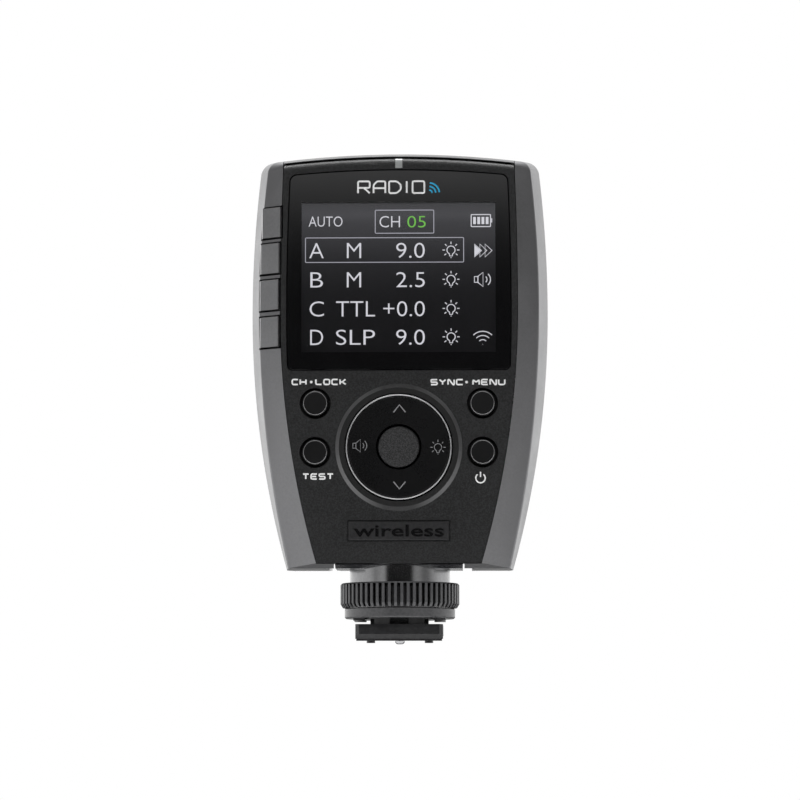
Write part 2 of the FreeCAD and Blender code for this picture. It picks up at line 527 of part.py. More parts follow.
keep("dpad_saddles", group("dpad_saddles", *(
    cut(f"saddle_{i}", box(f"saddle_block_{i}", (f"{a}", f"{b}"), ("gimbal_y - 0.35", "board_front"),
                           ("pad_z - 0.9", "pad_z + 0.9")),
        rod(f"saddle_bore_{i}", "pivot_radius + bearing_gap", (f"({a}) - 1", "gimbal_y", "pad_z"), "4",
            "x"))
    for i, (a, b) in enumerate((("lug_near", "lug_far"), ("-lug_far", "-lug_near"))))))

select_back = "board_front - switch_high - plunger_high - switch_gap"
select_cap = soften("select_cap", rod("select_rod", "select_radius", ("0", "select_front", "pad_z"),
                                      "gimbal_y - 0.6 - select_front", "y"), "0.5",
                    lambda b: b.YMax < value("select_front") + 0.01)
keep("button_select", fuse("button_select", select_cap,
                           rod("select_skirt", "select_flange", ("0", "gimbal_y - 0.9", "pad_z"), "0.6",
                               "y"),
                           rod("select_stem", "stem_radius", ("0", "gimbal_y - 0.7", "pad_z"),
                               f"{select_back} - (gimbal_y - 0.7)", "y")))

# ---- round buttons ---------------------------------------------------------------------------
for name, (x, z) in round_places.items():
    cap = soften(f"round_cap_{name}", rod(f"round_rod_{name}", "round_radius", (x, "round_front", z),
                                          f"{cover_back} + 0.9 - round_front", "y"), "0.5",
                 lambda b: b.YMax < value("round_front") + 0.01)
    skirt = rod(f"round_skirt_{name}", "round_flange", (x, f"{cover_back} + 0.1", z), "0.6", "y")
    stem = rod(f"round_stem_{name}", "stem_radius", (x, f"{cover_back} + 0.5", z),
               f"{select_back} - {cover_back} - 0.5", "y")
    keep(f"button_{name}", fuse(f"button_{name}", cap, skirt, stem))

# ---- group buttons with their switches -------------------------------------------------------
for letter in "abcd":
    block = box(f"group_block_{letter}", ("-group_left", "group_right"), ("-group_proud", "2.7"),
                ("-group_high / 2", "group_high / 2"))
    bevelled = soften(f"group_bevelled_{letter}", block, "group_bevel",
                      lambda b: b.YMax < 0 and b.XMax < 0, "Part::Chamfer")
    skirt = box(f"group_skirt_{letter}", ("-2.2", "0.8"), ("2.6", "3"),
                ("-group_high / 2 - 0.45", "group_high / 2 + 0.45"))
    stem = rod(f"group_stem_{letter}", "stem_radius", ("0", "2", "0"),
               "side_board_depth - switch_high - plunger_high - switch_gap - 2", "y")
    keep(f"group_button_{letter}", on_facet(letter, fuse(f"group_button_{letter}", bevelled, skirt, stem),
                                            letter))


def switch(name, place_at=None):
    """A dome switch about the origin: its base on Y = 0 and its plunger towards -Y."""
    item = fuse(name, box(name + "_base", ("-switch_half", "switch_half"), ("-switch_high", "0"),
                          ("-switch_half", "switch_half")),
                rod(name + "_plunger", "plunger_radius", ("0", "-switch_high - plunger_high", "0"),
                    "plunger_high + 0.3", "y"))
    return place(item, *place_at) if place_at else item


keep("side_tact_switches", group("side_tact_switches", *(
    on_facet(c, group(f"side_switch_set_{c}", switch(f"side_switch_{c}",
                                                     ("0", "side_board_depth", "0"))), c)
    for c in "abcd")))
side_board = box("side_board_block", ("-2.3", "1.5"), ("side_board_depth",
                                                       "side_board_depth + side_board_thick"),
                 ("-15.0", "15.0"))
board_holder = group("side_board_holder", side_board)
board_holder.Placement.Rotation = FreeCAD.Rotation(vector(0, 0, 1), value("group_turn"))
bind(board_holder, Placement__Rotation__Angle="group_turn")
place(board_holder, *group_places["a"][:2], "(group_a_z + group_d_z) / 2")
keep("side_switch_board", board_holder)

switch_spots = [("0", "pad_z"), ("0", "pad_z + nub_place"), ("0", "pad_z - nub_place"),
                ("nub_place", "pad_z"), ("-nub_place", "pad_z"), *round_places.values()]
keep("front_tact_switches", group("front_tact_switches", *(
    switch(f"front_switch_{i}", (x, "board_front", z)) for i, (x, z) in enumerate(switch_spots))))

# ---- boards and electronics ------------------------------------------------------------------
board_blank = box("board_blank", ("-board_half", "board_half"), ("board_front", board_back),
                  ("board_bottom", "board_top"))
board_bores = [rod(f"board_bore_{i}", "case_shank + 0.3", (x, "board_front - 1", z), "4", "y")
               for i, (x, z) in enumerate(screw_places)]
keep("main_board", cut("main_board", board_blank, *board_bores))
keep("radio_module", fuse("radio_module",
                          box("module_base", ("-19", "-5"), (board_back, f"{board_back} + 0.6"),
                              ("66.4", "84.4")),
                          box("module_can", ("-18.4", "-5.6"), (f"{board_back} + 0.5",
                                                                f"{board_back} + module_thick"),
                              ("67", "80.4"))))
antenna_bars = [box(f"antenna_bar_{i}", (f"{3 + 2.4 * i}", f"{3.8 + 2.4 * i}"),
                    (board_back, f"{board_back} + 0.8"), ("85.4", "91.4")) for i in range(7)]
antenna_links = [box(f"antenna_link_{i}", (f"{3 + 2.4 * i}", f"{6.2 + 2.4 * i}"),
                     (board_back, f"{board_back} + 0.8"),
                     ("90.6", "91.4") if i % 2 == 0 else ("85.4", "86.2")) for i in range(6)]
keep("antenna", fuse("antenna", *antenna_bars, *antenna_links))
keep("buzzer", cut("buzzer", rod("buzzer_can", "buzzer_radius", ("8", board_back, "31.2"),
                                 "buzzer_high", "y"),
                   rod("buzzer_port", "0.7", ("8", f"{board_back} + buzzer_high - 0.8", "31.2"), "2",
                       "y")))

cradle_front = "(cell_front - cradle_floor)"
cradle_block = box("cradle_block", ("-cell_half - cradle_wall - 0.1", "cell_half + cradle_wall + 0.1"),
                   (cradle_front, f"{cradle_front} + cradle_deep"),
                   ("cell_bottom - cradle_wall - 0.1", "cell_top + cradle_wall + 0.1"))
cradle_pocket = box("cradle_pocket", ("-cell_half - 0.1", "cell_half + 0.1"),
                    ("cell_front", "cell_front + 21"), ("cell_bottom - 0.1", "cell_top + 0.1"))
legs = [rod(f"cradle_leg_{i}", "cradle_leg", (x, board_back, z), f"cell_front - {board_back} - 0.2", "y")
        for i, (x, z) in enumerate((("-16", "38.4"), ("16", "38.4"), ("0", "84.4"), ("16", "80.4")))]
keep("battery_tray", cut("battery_tray", fuse("cradle_solid", cradle_block, *legs), cradle_pocket))
cell_block = box("cell_block", ("-cell_half", "cell_half"), ("cell_front", "cell_front + cell_thick"),
                 ("cell_bottom", "cell_top"))
keep("battery_cell", soften("battery_cell", cell_block, "1.6",
                            lambda b: b.ZMax - b.ZMin > 20 and b.YMin > value("cell_front") + 1))

# ---- sockets on the right side ---------------------------------------------------------------
keep("side_io_board", box("side_io_board", ("io_inner", "io_outer"),
                          ("io_front", "io_front + io_thick"), ("io_bottom", "io_top")))
usb_tongue = box("usb_tongue", ("usb_inner + 1", "usb_outer - 1"),
                 (f"{usb_centre_y} - 0.35", f"{usb_centre_y} + 0.35"), ("usb_z - 3.3", "usb_z + 3.3"))
usb_shell = cut("usb_shell", usb_slot("usb_outside", "0", "usb_inner", "usb_outer"),
                usb_slot("usb_inside", "-0.3", "usb_inner + 1", "usb_outer + 1"))
keep("usb_c_receptacle", fuse("usb_c_receptacle", usb_shell, usb_tongue))
jack_box = box("jack_box", ("jack_inner", "jack_shoulder"), ("io_front - jack_body", "io_front"),
               ("jack_z - jack_body / 2", "jack_z + jack_body / 2"))
jack_tube = rod("jack_tube", "jack_nose", ("jack_shoulder - 0.5", jack_centre_y, "jack_z"),
                "jack_outer - jack_shoulder + 0.5", "x")
keep("sync_jack", cut("sync_jack", fuse("jack_solid", jack_box, jack_tube),
                      rod("jack_hole", "jack_bore", ("jack_outer - jack_bore_deep", jack_centre_y,
                                                     "jack_z"), "jack_bore_deep + 1", "x")))

# ---- neck and foot ---------------------------------------------------------------------------
neck_bores = [rod(f"neck_bore_{i}", "neck_shank", (x, y, "collar_seat - 3.5"), "5")
              for i, (x, y) in enumerate(neck_places)]
keep("neck_collar", cut("neck_collar", rod("neck_rod", "neck_radius", ("0", "0", "neck_bottom"),
                                           "collar_seat - neck_bottom"),
                        rod("neck_hole", "neck_bore", ("0", "0", "neck_bottom - 1"), "8"), *neck_bores))

foot_blank = fuse("foot_blank",
                  box("plate_blank", ("-foot_half", "foot_half"), ("-foot_deep", "foot_deep"),
                      ("0", "foot_thick")),
                  box("lip_blank", ("-foot_half", "foot_half"), ("-foot_deep", "-foot_deep + lip_thick"),
                      ("-lip_drop", "0.01")))
foot_round = soften("foot_round", foot_blank, "0.8", lambda b: b.ZMax - b.ZMin > 1.5 and b.YMin > 0)
foot_sides = soften("foot_sides", foot_round, "lip_side_bevel",
                    lambda b: b.ZMax - b.ZMin > 1.5 and b.YMax < value("-foot_deep") + 0.01,
                    "Part::Chamfer")
foot_plate = soften("foot_plate", foot_sides, "lip_bevel",
                    lambda b: b.ZMax < value("-lip_drop") + 0.01 and b.YMax < value("-foot_deep") + 0.01,
                    "Part::Chamfer")
toe = box("toe", ("-foot_half + 0.2", "foot_half - 0.2"),
          ("-foot_deep + lip_bevel + 0.02", "-foot_deep + lip_thick - 0.05"),
          ("-toe_drop", "-lip_drop + 0.1"))
stem_z = ("foot_thick - 0.5", "column_bottom + 0.01")
stem_block = fuse("stem_block",
                  box("stem_core", ("-stem_half", "stem_half"), ("-stem_deep", "stem_deep"), stem_z),
                  common("stem_bow", box("stem_bow_block", ("-stem_face", "stem_face"),
                                         ("-foot_deep", "foot_deep"), stem_z),
                         rod("stem_bow_rod", "stem_radius_front", ("0", "0", "0"), "8")))
column = rod("column", "column_radius", ("0", "0", "column_bottom"), "neck_bottom - column_bottom")
spigot = rod("spigot", "spigot_radius", ("0", "0", "neck_bottom - 1"), "spigot_top - neck_bottom + 1")
guides = [rod(f"guide_{s}", "guide_radius", (f"{s}guide_x", "0", "-guide_drop"), "guide_drop + 0.5")
          for s in ("-", "")]
stem_slot = box("stem_slot", ("-stem_groove", "stem_groove"), ("-foot_deep", "-stem_deep - 0.8"),
                ("foot_thick", "clamp_bottom"))
insulator_x, insulator_y = ("-insulator_half", "insulator_half"), ("insulator_near", "insulator_far")
keep("shoe_foot", cut("shoe_foot", fuse("foot_solid", foot_plate, toe, stem_block, column, spigot,
                                        *guides),
                      box("insulator_pocket", insulator_x, insulator_y, ("-2", "insulator_top")),
                      rod("spring_pocket", "pin_bore", ("0", "0", "1"), "pin_bore_top - 1"),
                      rod("wire_bore", "wire_radius", ("0", "0", "pin_bore_top + 0.6"), "20"),
                      rod("wire_way", "0.7", ("0", "4.2", "1"), "20"), stem_slot))

terminal_y = ("insulator_far - 2.2", "insulator_far - 0.9")
terminals = [box(f"terminal_{i}", (f"terminal_step * {i - 3.5} - terminal_half",
                                   f"terminal_step * {i - 3.5} + terminal_half"), terminal_y,
                 ("-0.05", "insulator_top - 0.6")) for i in range(8)]
keep("connector_contacts", group("connector_contacts", *terminals))
keep("contact_block", cut("contact_block", box("insulator", insulator_x, insulator_y,
                                               ("0", "insulator_top")),
                          rod("pin_guide", "pin_radius + 0.05", ("0", "0", "-1"), "5"),
                          rod("pin_room", "pin_bore", ("0", "0", "pin_flange_low - 0.03"), "5"),
                          rod("wire_notch", "0.7", ("0", "4.2", "1"), "5"),
                          *(box(f"terminal_slot_{i}", (f"terminal_step * {i - 3.5} - terminal_half",
                                                       f"terminal_step * {i - 3.5} + terminal_half"),
                                terminal_y, ("-1", "insulator_top - 0.6")) for i in range(8))))
pin_body = soften("pin_body", rod("pin_rod", "pin_radius", ("0", "0", "-pin_drop"),
                                  "pin_drop + pin_flange_high"), "0.7",
                  lambda b: b.ZMax < value("-pin_drop") + 0.01)
keep("centre_contact_pin", fuse("centre_contact_pin", pin_body,
                                rod("pin_collar", "pin_flange", ("0", "0", "pin_flange_low"),
                                    "pin_flange_high - pin_flange_low")))

# The spring is a coil swept along a helix, so its shape is made here from the sheet's sizes.
coil_low, coil_high = value("pin_flange_high + spring_wire"), value("pin_bore_top - spring_wire")
coil = Part.makeHelix(value("spring_pitch"), coil_high - coil_low, value("spring_radius"))
wire_end = Part.Wire(Part.makeCircle(value("spring_wire") * 0.98, vector(value("spring_radius"), 0, 0),
                                     vector(0, 1, 0)))
spring = doc.addObject("Part::Feature", "contact_spring")
spring.Shape = Part.Wire(coil.Edges).makePipeShell([wire_end], True, True)
spring.Placement = FreeCAD.Placement(vector(0, 0, coil_low), FreeCAD.Rotation())
keep("contact_spring", spring)

# ---- clamp plate, washer and lock ring ---------------------------------------------------------
clamp_disc = soften("clamp_disc", rod("clamp_rod", "clamp_radius", ("0", "0", "clamp_bottom"),
                                      "clamp_top - clamp_bottom"), "clamp_bevel",
                    lambda b: b.ZMax - b.ZMin < 0.01, "Part::Chamfer")
clamp_pads = [box(f"clamp_pad_{i}", (a, b), ("-pad_long", "pad_long"), ("pad_under", "clamp_bottom + 0.5"))
              for i, (a, b) in enumerate((("pad_near", "pad_far"), ("-pad_far", "-pad_near")))]
keep("clamp_plate", cut("clamp_plate", fuse("clamp_solid", clamp_disc, *clamp_pads),
                        rod("clamp_hole", "clamp_bore", ("0", "0", "clamp_bottom - 2"), "8")))
keep("friction_washer", cut("friction_washer",
                            rod("washer_disc", "washer_out", ("0", "0", "clamp_top"), "washer_thick"),
                            rod("washer_hole", "washer_in", ("0", "0", "clamp_top - 1"), "3")))

ring = doc.addObject("PartDesign::Body", "lock_ring")
plane = next(o for o in ring.Origin.OriginFeatures if o.Role == "XZ_Plane")
profile = ring.newObject("Sketcher::SketchObject", "ring_profile")
profile.AttachmentSupport = [(plane, "")]
profile.MapMode = "FlatFace"
outer, inner, recess = "ring_radius", "ring_thread", "ring_recess"
low_bevel, high_bevel = "ring_low_bevel", "ring_high_bevel"
relief_out, relief_top = "(washer_out + 0.25)", "(clamp_top + washer_thick + 0.05)"
corners = [(inner, relief_top), (relief_out, relief_top), (relief_out, "ring_bottom"),
           (f"{outer} - {low_bevel} * 0.6", "ring_bottom"), (outer, f"ring_bottom + {low_bevel}"),
           (outer, f"ring_top - {high_bevel}"), (f"{outer} - {high_bevel}", "ring_top"),
           (recess, "ring_top"), (recess, "ring_recess_floor"), (inner, "ring_recess_floor")]
points = [vector(value(x), value(z), 0) for x, z in corners]
profile.addGeometry([Part.LineSegment(a, b) for a, b in zip(points, points[1:] + points[:1])], False)
count = len(corners)
profile.addConstraint([Sketcher.Constraint("Coincident", i, 2, (i + 1) % count, 1)
                       for i in range(count)])
for i, (x, z) in enumerate(corners):
    for kind, size in (("DistanceX", x), ("DistanceY", z)):
        made = profile.addConstraint(Sketcher.Constraint(kind, -1, 1, i, 1, value(size)))
        profile.setExpression(f"Constraints[{made}]", sized(size))
turned = ring.newObject("PartDesign::Revolution", "ring_turned")
turned.Profile = profile
turned.ReferenceAxis = (profile, ["V_Axis"])
turned.Angle = 360
groove_plane = next(o for o in ring.Origin.OriginFeatures if o.Role == "XY_Plane")
groove = ring.newObject("Sketcher::SketchObject", "groove_outline")
groove.AttachmentSupport = [(groove_plane, "")]
groove.MapMode = "FlatFace"
near, far, wide = value("ring_radius - groove_deep"), value("ring_radius + 0.5"), value("groove_wide / 2")
rim = [vector(near, -wide * 0.6, 0), vector(far, -wide, 0), vector(far, wide, 0),
       vector(near, wide * 0.6, 0)]
groove.addGeometry([Part.LineSegment(a, b) for a, b in zip(rim, rim[1:] + rim[:1])], False)
groove.addConstraint([Sketcher.Constraint("Coincident", i, 2, (i + 1) % 4, 1) for i in range(4)])
for i, (x, y) in enumerate((("ring_radius - groove_deep", "-groove_wide * 0.3"),
                            ("ring_radius + 0.5", "-groove_wide / 2"),
                            ("ring_radius + 0.5", "groove_wide / 2"),
                            ("ring_radius - groove_deep", "groove_wide * 0.3"))):
    for kind, size in (("DistanceX", x), ("DistanceY", y)):
        made = groove.addConstraint(Sketcher.Constraint(kind, -1, 1, i, 1, value(size)))
        groove.setExpression(f"Constraints[{made}]", sized(size))
rib_groove = ring.newObject("PartDesign::Pocket", "rib_groove")
rib_groove.Profile = groove
rib_groove.Midplane = True
bind(rib_groove, Length="2 * (ring_top - groove_cap)")
doc.recompute()
pattern = ring.newObject("PartDesign::PolarPattern", "rib_grooves")
pattern.Originals = [rib_groove]
pattern.Axis = (next(o for o in ring.Origin.OriginFeatures if o.Role == "Z_Axis"), [""])
pattern.Angle = 360
bind(pattern, Occurrences="ribs")
ring.Tip = pattern
keep("lock_ring", ring)

# ---- fasteners -------------------------------------------------------------------------------
case_screws = []
for i, (x, z) in enumerate(screw_places):
    seat = f"{cap_face(z)} - 2.2"
    head = rod(f"case_head_{i}", "case_head", (x, seat, z), "case_head_high", "y")
    shank = rod(f"case_shank_{i}", "case_shank", (x, "board_front - 3.2", z),
                f"{seat} - board_front + 3.3", "y")
    drive = [box(f"case_drive_{i}_{k}", (f"{x} - {a}", f"{x} + {a}"),
                 (f"{seat} + case_head_high - 0.5", f"{seat} + 4"), (f"{z} - {b}", f"{z} + {b}"))
             for k, (a, b) in enumerate((("1.1", "0.22"), ("0.22", "1.1")))]
    case_screws.append(cut(f"case_screw_{i}", fuse(f"case_solid_{i}", head, shank), *drive))
keep("case_screws", group("case_screws", *case_screws))
neck_screws = [fuse(f"neck_screw_{i}",
                    rod(f"neck_head_{i}", "neck_head", (x, y, "floor_top"),
                        "neck_head_high"),
                    rod(f"neck_shank_{i}", "neck_shank", (x, y, "collar_seat - 3.0"),
                        "floor_top - collar_seat + 3.2"))
               for i, (x, y) in enumerate(neck_places)]
keep("neck_screws", group("neck_screws", *neck_screws))

# ---- checks and export -----------------------------------------------------------------------
doc.recompute()
for item in doc.Objects:
    if {"Invalid", "Error"} & set(item.State):
        raise RuntimeError(f"{item.Name}: {item.State}")
os.makedirs("parts", exist_ok=True)
for name, item in parts.items():
    shape = item.Shape
    if shape.isNull() or not shape.isValid() or not shape.Solids:
        raise RuntimeError(f"{name} has no valid solid")
    shape.exportStep(f"parts/{name}.step")
print(len(parts), "nodes")
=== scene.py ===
import json
import math

import bpy
from mathutils import Matrix, Vector


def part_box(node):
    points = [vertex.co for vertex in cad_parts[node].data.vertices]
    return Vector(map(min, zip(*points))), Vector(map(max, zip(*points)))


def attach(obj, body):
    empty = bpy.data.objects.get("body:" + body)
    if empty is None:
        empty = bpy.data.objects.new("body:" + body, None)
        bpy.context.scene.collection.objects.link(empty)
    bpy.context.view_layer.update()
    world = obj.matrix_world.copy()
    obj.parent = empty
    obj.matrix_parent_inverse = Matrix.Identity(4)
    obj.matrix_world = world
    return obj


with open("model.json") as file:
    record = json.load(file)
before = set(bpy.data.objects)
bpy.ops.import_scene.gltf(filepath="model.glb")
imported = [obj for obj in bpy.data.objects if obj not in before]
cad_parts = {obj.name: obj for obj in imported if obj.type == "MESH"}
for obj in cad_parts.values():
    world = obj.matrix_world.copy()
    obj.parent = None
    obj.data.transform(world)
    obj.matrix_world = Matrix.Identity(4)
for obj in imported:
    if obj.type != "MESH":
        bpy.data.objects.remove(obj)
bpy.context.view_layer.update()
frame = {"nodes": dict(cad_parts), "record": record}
MM = 0.001
scene = bpy.context.scene
scene.view_settings.view_transform = "Standard"
scene.view_settings.look = "None"


# ---- materials -------------------------------------------------------------------------------
class Nodes:
    """Short hands for building one material's node tree."""

    def __init__(self, name):
        self.material = bpy.data.materials.new(name)
        self.material.use_nodes = True
        self.tree = self.material.node_tree
        self.tree.nodes.clear()
        self.output = self.add("ShaderNodeOutputMaterial")
        self.place = self.add("ShaderNodeTexCoord").outputs["Object"]

    def add(self, kind, **settings):
        node = self.tree.nodes.new(kind)
        for key, value in settings.items():
            setattr(node, key, value)
        return node

    def link(self, source, target):
        self.tree.links.new(source, target)

    def feed(self, target, value):
        if isinstance(value, bpy.types.NodeSocket):
            self.link(value, target)
        else:
            target.default_value = value

    def math(self, operation, a, b=0.0, clamp=False):
        node = self.add("ShaderNodeMath", operation=operation, use_clamp=clamp)
        self.feed(node.inputs[0], a)
        self.feed(node.inputs[1], b)
        return node.outputs[0]

    def noise(self, scale, detail=2.0, roughness=0.5, stretch=None):
        node = self.add("ShaderNodeTexNoise")
        node.inputs["Scale"].default_value = scale
        node.inputs["Detail"].default_value = detail
        node.inputs["Roughness"].default_value = roughness
        source = self.place
        if stretch:
            mapping = self.add("ShaderNodeMapping")
            mapping.inputs["Scale"].default_value = stretch
            self.link(self.place, mapping.inputs["Vector"])
            source = mapping.outputs[0]
        self.link(source, node.inputs["Vector"])
        return node.outputs["Fac"]

    def span(self, value, low, high, out_low, out_high, smooth=False):
        node = self.add("ShaderNodeMapRange", interpolation_type="SMOOTHSTEP" if smooth else "LINEAR")
        for slot, number in zip(node.inputs[1:5], (low, high, out_low, out_high)):
            slot.default_value = number
        self.link(value, node.inputs[0])
        return node.outputs[0]

    def mix(self, factor, a, b):
        node = self.add("ShaderNodeMix", data_type="RGBA")
        self.feed(node.inputs[0], factor)
        for slot, colour in ((node.inputs[6], a), (node.inputs[7], b)):
            self.feed(slot, colour if isinstance(colour, bpy.types.NodeSocket) else (*colour, 1.0))
        return node.outputs[2]

    def ramp(self, value, stops):
        """Straight-line interpolation through stops = [(value 0..1, level), ...]."""
        node = self.add("ShaderNodeValToRGB")
        points = node.color_ramp.elements
        while len(points) < len(stops):
            points.new(0.5)
        for point, (position, level) in zip(points, stops):
            point.position = position
            point.color = (level, level, level, 1.0)
        self.link(value, node.inputs[0])
        return node.outputs[0]

    def axis(self, index):
        node = self.add("ShaderNodeSeparateXYZ")
        self.link(self.place, node.inputs[0])
        return node.outputs[index]

    def bump(self, height, strength, depth, under=None):
        node = self.add("ShaderNodeBump")
        node.inputs["Strength"].default_value = strength
        node.inputs["Distance"].default_value = depth
        self.link(height, node.inputs["Height"])
        if under is not None:
            self.link(under, node.inputs["Normal"])
        return node.outputs[0]


def surface(name, colour, rough, metal=0.0, grain=0.16, grain_depth=0.02, tint=0.14, ior=1.5,
            coat=0.0, wear=0.0, brushed=None, specular=0.5, gap_shade_reach=0.0, band=None, specked=0.0):
    """A moulded, painted or metal surface: fine grain, uneven colour and gloss, worn edges and painted
    shade in gaps.

    band = (x, z, inner radius, outer radius, colour) in mm makes a flat ring about a Y axis metallic and
    smoother, with a painted highlight that is brighter to its left and right than above and below, and
    darkens the disc inside it. grain, grain_depth and gap_shade_reach are in mm, gap_shade_reach is how far
    the painted shade in gaps reaches, and wear, tint, specked and coat are shares from 0 to 1."""
    nodes = Nodes(name)
    shader = nodes.add("ShaderNodeBsdfPrincipled")
    nodes.link(shader.outputs[0], nodes.output.inputs[0])
    fine = nodes.noise(1.0 / (grain * MM), 3.0, 0.6, brushed)
    broad = nodes.noise(1.0 / (9 * MM), 3.0, 0.55)
    speck = nodes.noise(1.0 / (0.55 * MM), 2.0, 0.5)
    dark = [c * (1 - tint) for c in colour]
    light = [min(1.0, c * (1 + tint)) for c in colour]
    base = nodes.mix(nodes.span(broad, 0.3, 0.7, 0.0, 1.0), dark, light)
    base = nodes.mix(nodes.span(fine, 0.35, 0.75, 0.0, 0.35), base, [min(1.0, c * 1.5) for c in colour])
    if specked:
        pits = nodes.noise(1.0 / (0.3 * MM), 1.5, 0.6)
        base = nodes.mix(nodes.span(pits, 0.4, 0.62, 0.0, specked), [c * 0.3 for c in colour],
                         [min(1.0, c * 3.2) for c in colour])
    if wear:
        edge = nodes.add("ShaderNodeNewGeometry").outputs["Pointiness"]
        rub = nodes.math("MULTIPLY", nodes.span(edge, 0.515, 0.56, 0.0, wear),
                         nodes.span(speck, 0.35, 0.6, 0.35, 1.0))
        base = nodes.mix(rub, base, [min(1.0, c * 2.2 + 0.03) for c in colour])
    uneven = nodes.span(nodes.math("ADD", nodes.math("MULTIPLY", broad, 0.6),
                                   nodes.math("MULTIPLY", speck, 0.4)), 0.3, 0.7,
                        max(0.02, rough - 0.05), min(1.0, rough + 0.06))
    shader.inputs["Metallic"].default_value = metal
    # Painted highlight: the ring round the pad is metallic and smoother, and its colour is painted brighter
    # to the left and right than above and below.
    if band:
        x, z, inner, outer, tone = band
        across = nodes.math("POWER", nodes.math("SUBTRACT", nodes.axis(0), x * MM), 2.0)
        up = nodes.math("POWER", nodes.math("SUBTRACT", nodes.axis(2), z * MM), 2.0)
        reach = nodes.math("SQRT", nodes.math("ADD", across, up))
        mask = nodes.math("MULTIPLY", nodes.math("GREATER_THAN", reach, inner * MM),
                          nodes.math("LESS_THAN", reach, outer * MM))
        flank = nodes.math("ABSOLUTE", nodes.math("SUBTRACT", nodes.axis(0), x * MM))
        painted_sheen = nodes.mix(nodes.span(flank, 3 * MM, 10 * MM, 0.0, 1.0), [c * 0.3 for c in tone], tone)
        disc = nodes.math("LESS_THAN", reach, inner * MM)
        base = nodes.mix(nodes.math("MULTIPLY", disc, 0.8), base, (0.001, 0.001, 0.001))
        base = nodes.mix(mask, base, painted_sheen)
        uneven = nodes.mix(mask, uneven, (0.3, 0.3, 0.3))
        nodes.link(nodes.math("MULTIPLY", mask, 0.9), shader.inputs["Metallic"])
    # Painted shade: an ambient-occlusion mask darkens the colour and lowers the specular level in gaps,
    # grooves and creases, where shade falls.
    if gap_shade_reach:
        gap_shade_ao = nodes.add("ShaderNodeAmbientOcclusion", samples=6)
        gap_shade_ao.inputs["Distance"].default_value = gap_shade_reach * MM
        unshaded_share = nodes.span(gap_shade_ao.outputs["AO"], 0.35, 0.8, 0.0, 1.0, smooth=True)
        base = nodes.mix(unshaded_share, [c * 0.04 for c in colour], base)
        nodes.link(nodes.math("MULTIPLY", unshaded_share, specular), shader.inputs["Specular IOR Level"])
    nodes.link(base, shader.inputs["Base Color"])
    nodes.link(uneven, shader.inputs["Roughness"])
    shader.inputs["IOR"].default_value = ior
    if not gap_shade_reach:
        shader.inputs["Specular IOR Level"].default_value = specular
    shader.inputs["Coat Weight"].default_value = coat
    shader.inputs["Coat Roughness"].default_value = 0.06
    if grain_depth:
        nodes.link(nodes.bump(fine, 0.9, grain_depth * MM), shader.inputs["Normal"])
    return nodes.material


def glowing(name, colour):
    """A lit mark on the display, with a faint pixel-grid unevenness."""
    nodes = Nodes(name)
    shader = nodes.add("ShaderNodeBsdfPrincipled")
    nodes.link(shader.outputs[0], nodes.output.inputs[0])
    cells = nodes.span(nodes.noise(1.0 / (0.3 * MM)), 0.3, 0.7, 0.92, 1.0)
    shade = nodes.mix(cells, [c * 0.85 for c in colour], colour)
    nodes.link(shade, shader.inputs["Emission Color"])
    shader.inputs["Emission Strength"].default_value = 1.0
    shader.inputs["Base Color"].default_value = (0.02, 0.02, 0.02, 1.0)
    shader.inputs["Roughness"].default_value = 0.5
    return nodes.material


GLOW_SPAN = (58 * MM, 90.5 * MM)


def display_face():
    """The display's backlit ground, with a fine cell pattern: paler in a header band near the top, and
    fading to near black towards the bottom as a painted reflection of bright light above the front.
    """
    nodes = Nodes("display_ground")
    shader = nodes.add("ShaderNodeBsdfPrincipled")
    nodes.link(shader.outputs[0], nodes.output.inputs[0])
    height = nodes.span(nodes.axis(2), *GLOW_SPAN, 0.0, 1.0)
    # Partly painted reflection: the backlit glow fades from the top towards the bottom in place of a
    # reflection of bright light above the front; the peak near the top is the paler header.
    glow_and_painted_reflection = nodes.ramp(height, [(0.0, 0.0055), (0.25, 0.007), (0.4, 0.009), (0.51, 0.0135), (0.63, 0.021),
                               (0.69, 0.027), (0.745, 0.034), (0.8, 0.041), (0.86, 0.045), (0.915, 0.062),
                               (0.97, 0.05), (1.0, 0.046)])
    glow_and_painted_reflection = nodes.math("MULTIPLY", glow_and_painted_reflection, nodes.span(nodes.noise(1.0 / (0.2 * MM)), 0.3, 0.7, 0.93, 1.05))
    nodes.link(nodes.mix(glow_and_painted_reflection, (0.0, 0.0, 0.0), (1.0, 1.0, 1.08)), shader.inputs["Emission Color"])
    shader.inputs["Emission Strength"].default_value = 1.0
    shader.inputs["Base Color"].default_value = (0.003, 0.003, 0.0035, 1.0)
    shader.inputs["Roughness"].default_value = 0.4
    shader.inputs["Specular IOR Level"].default_value = 0.1
    return nodes.material


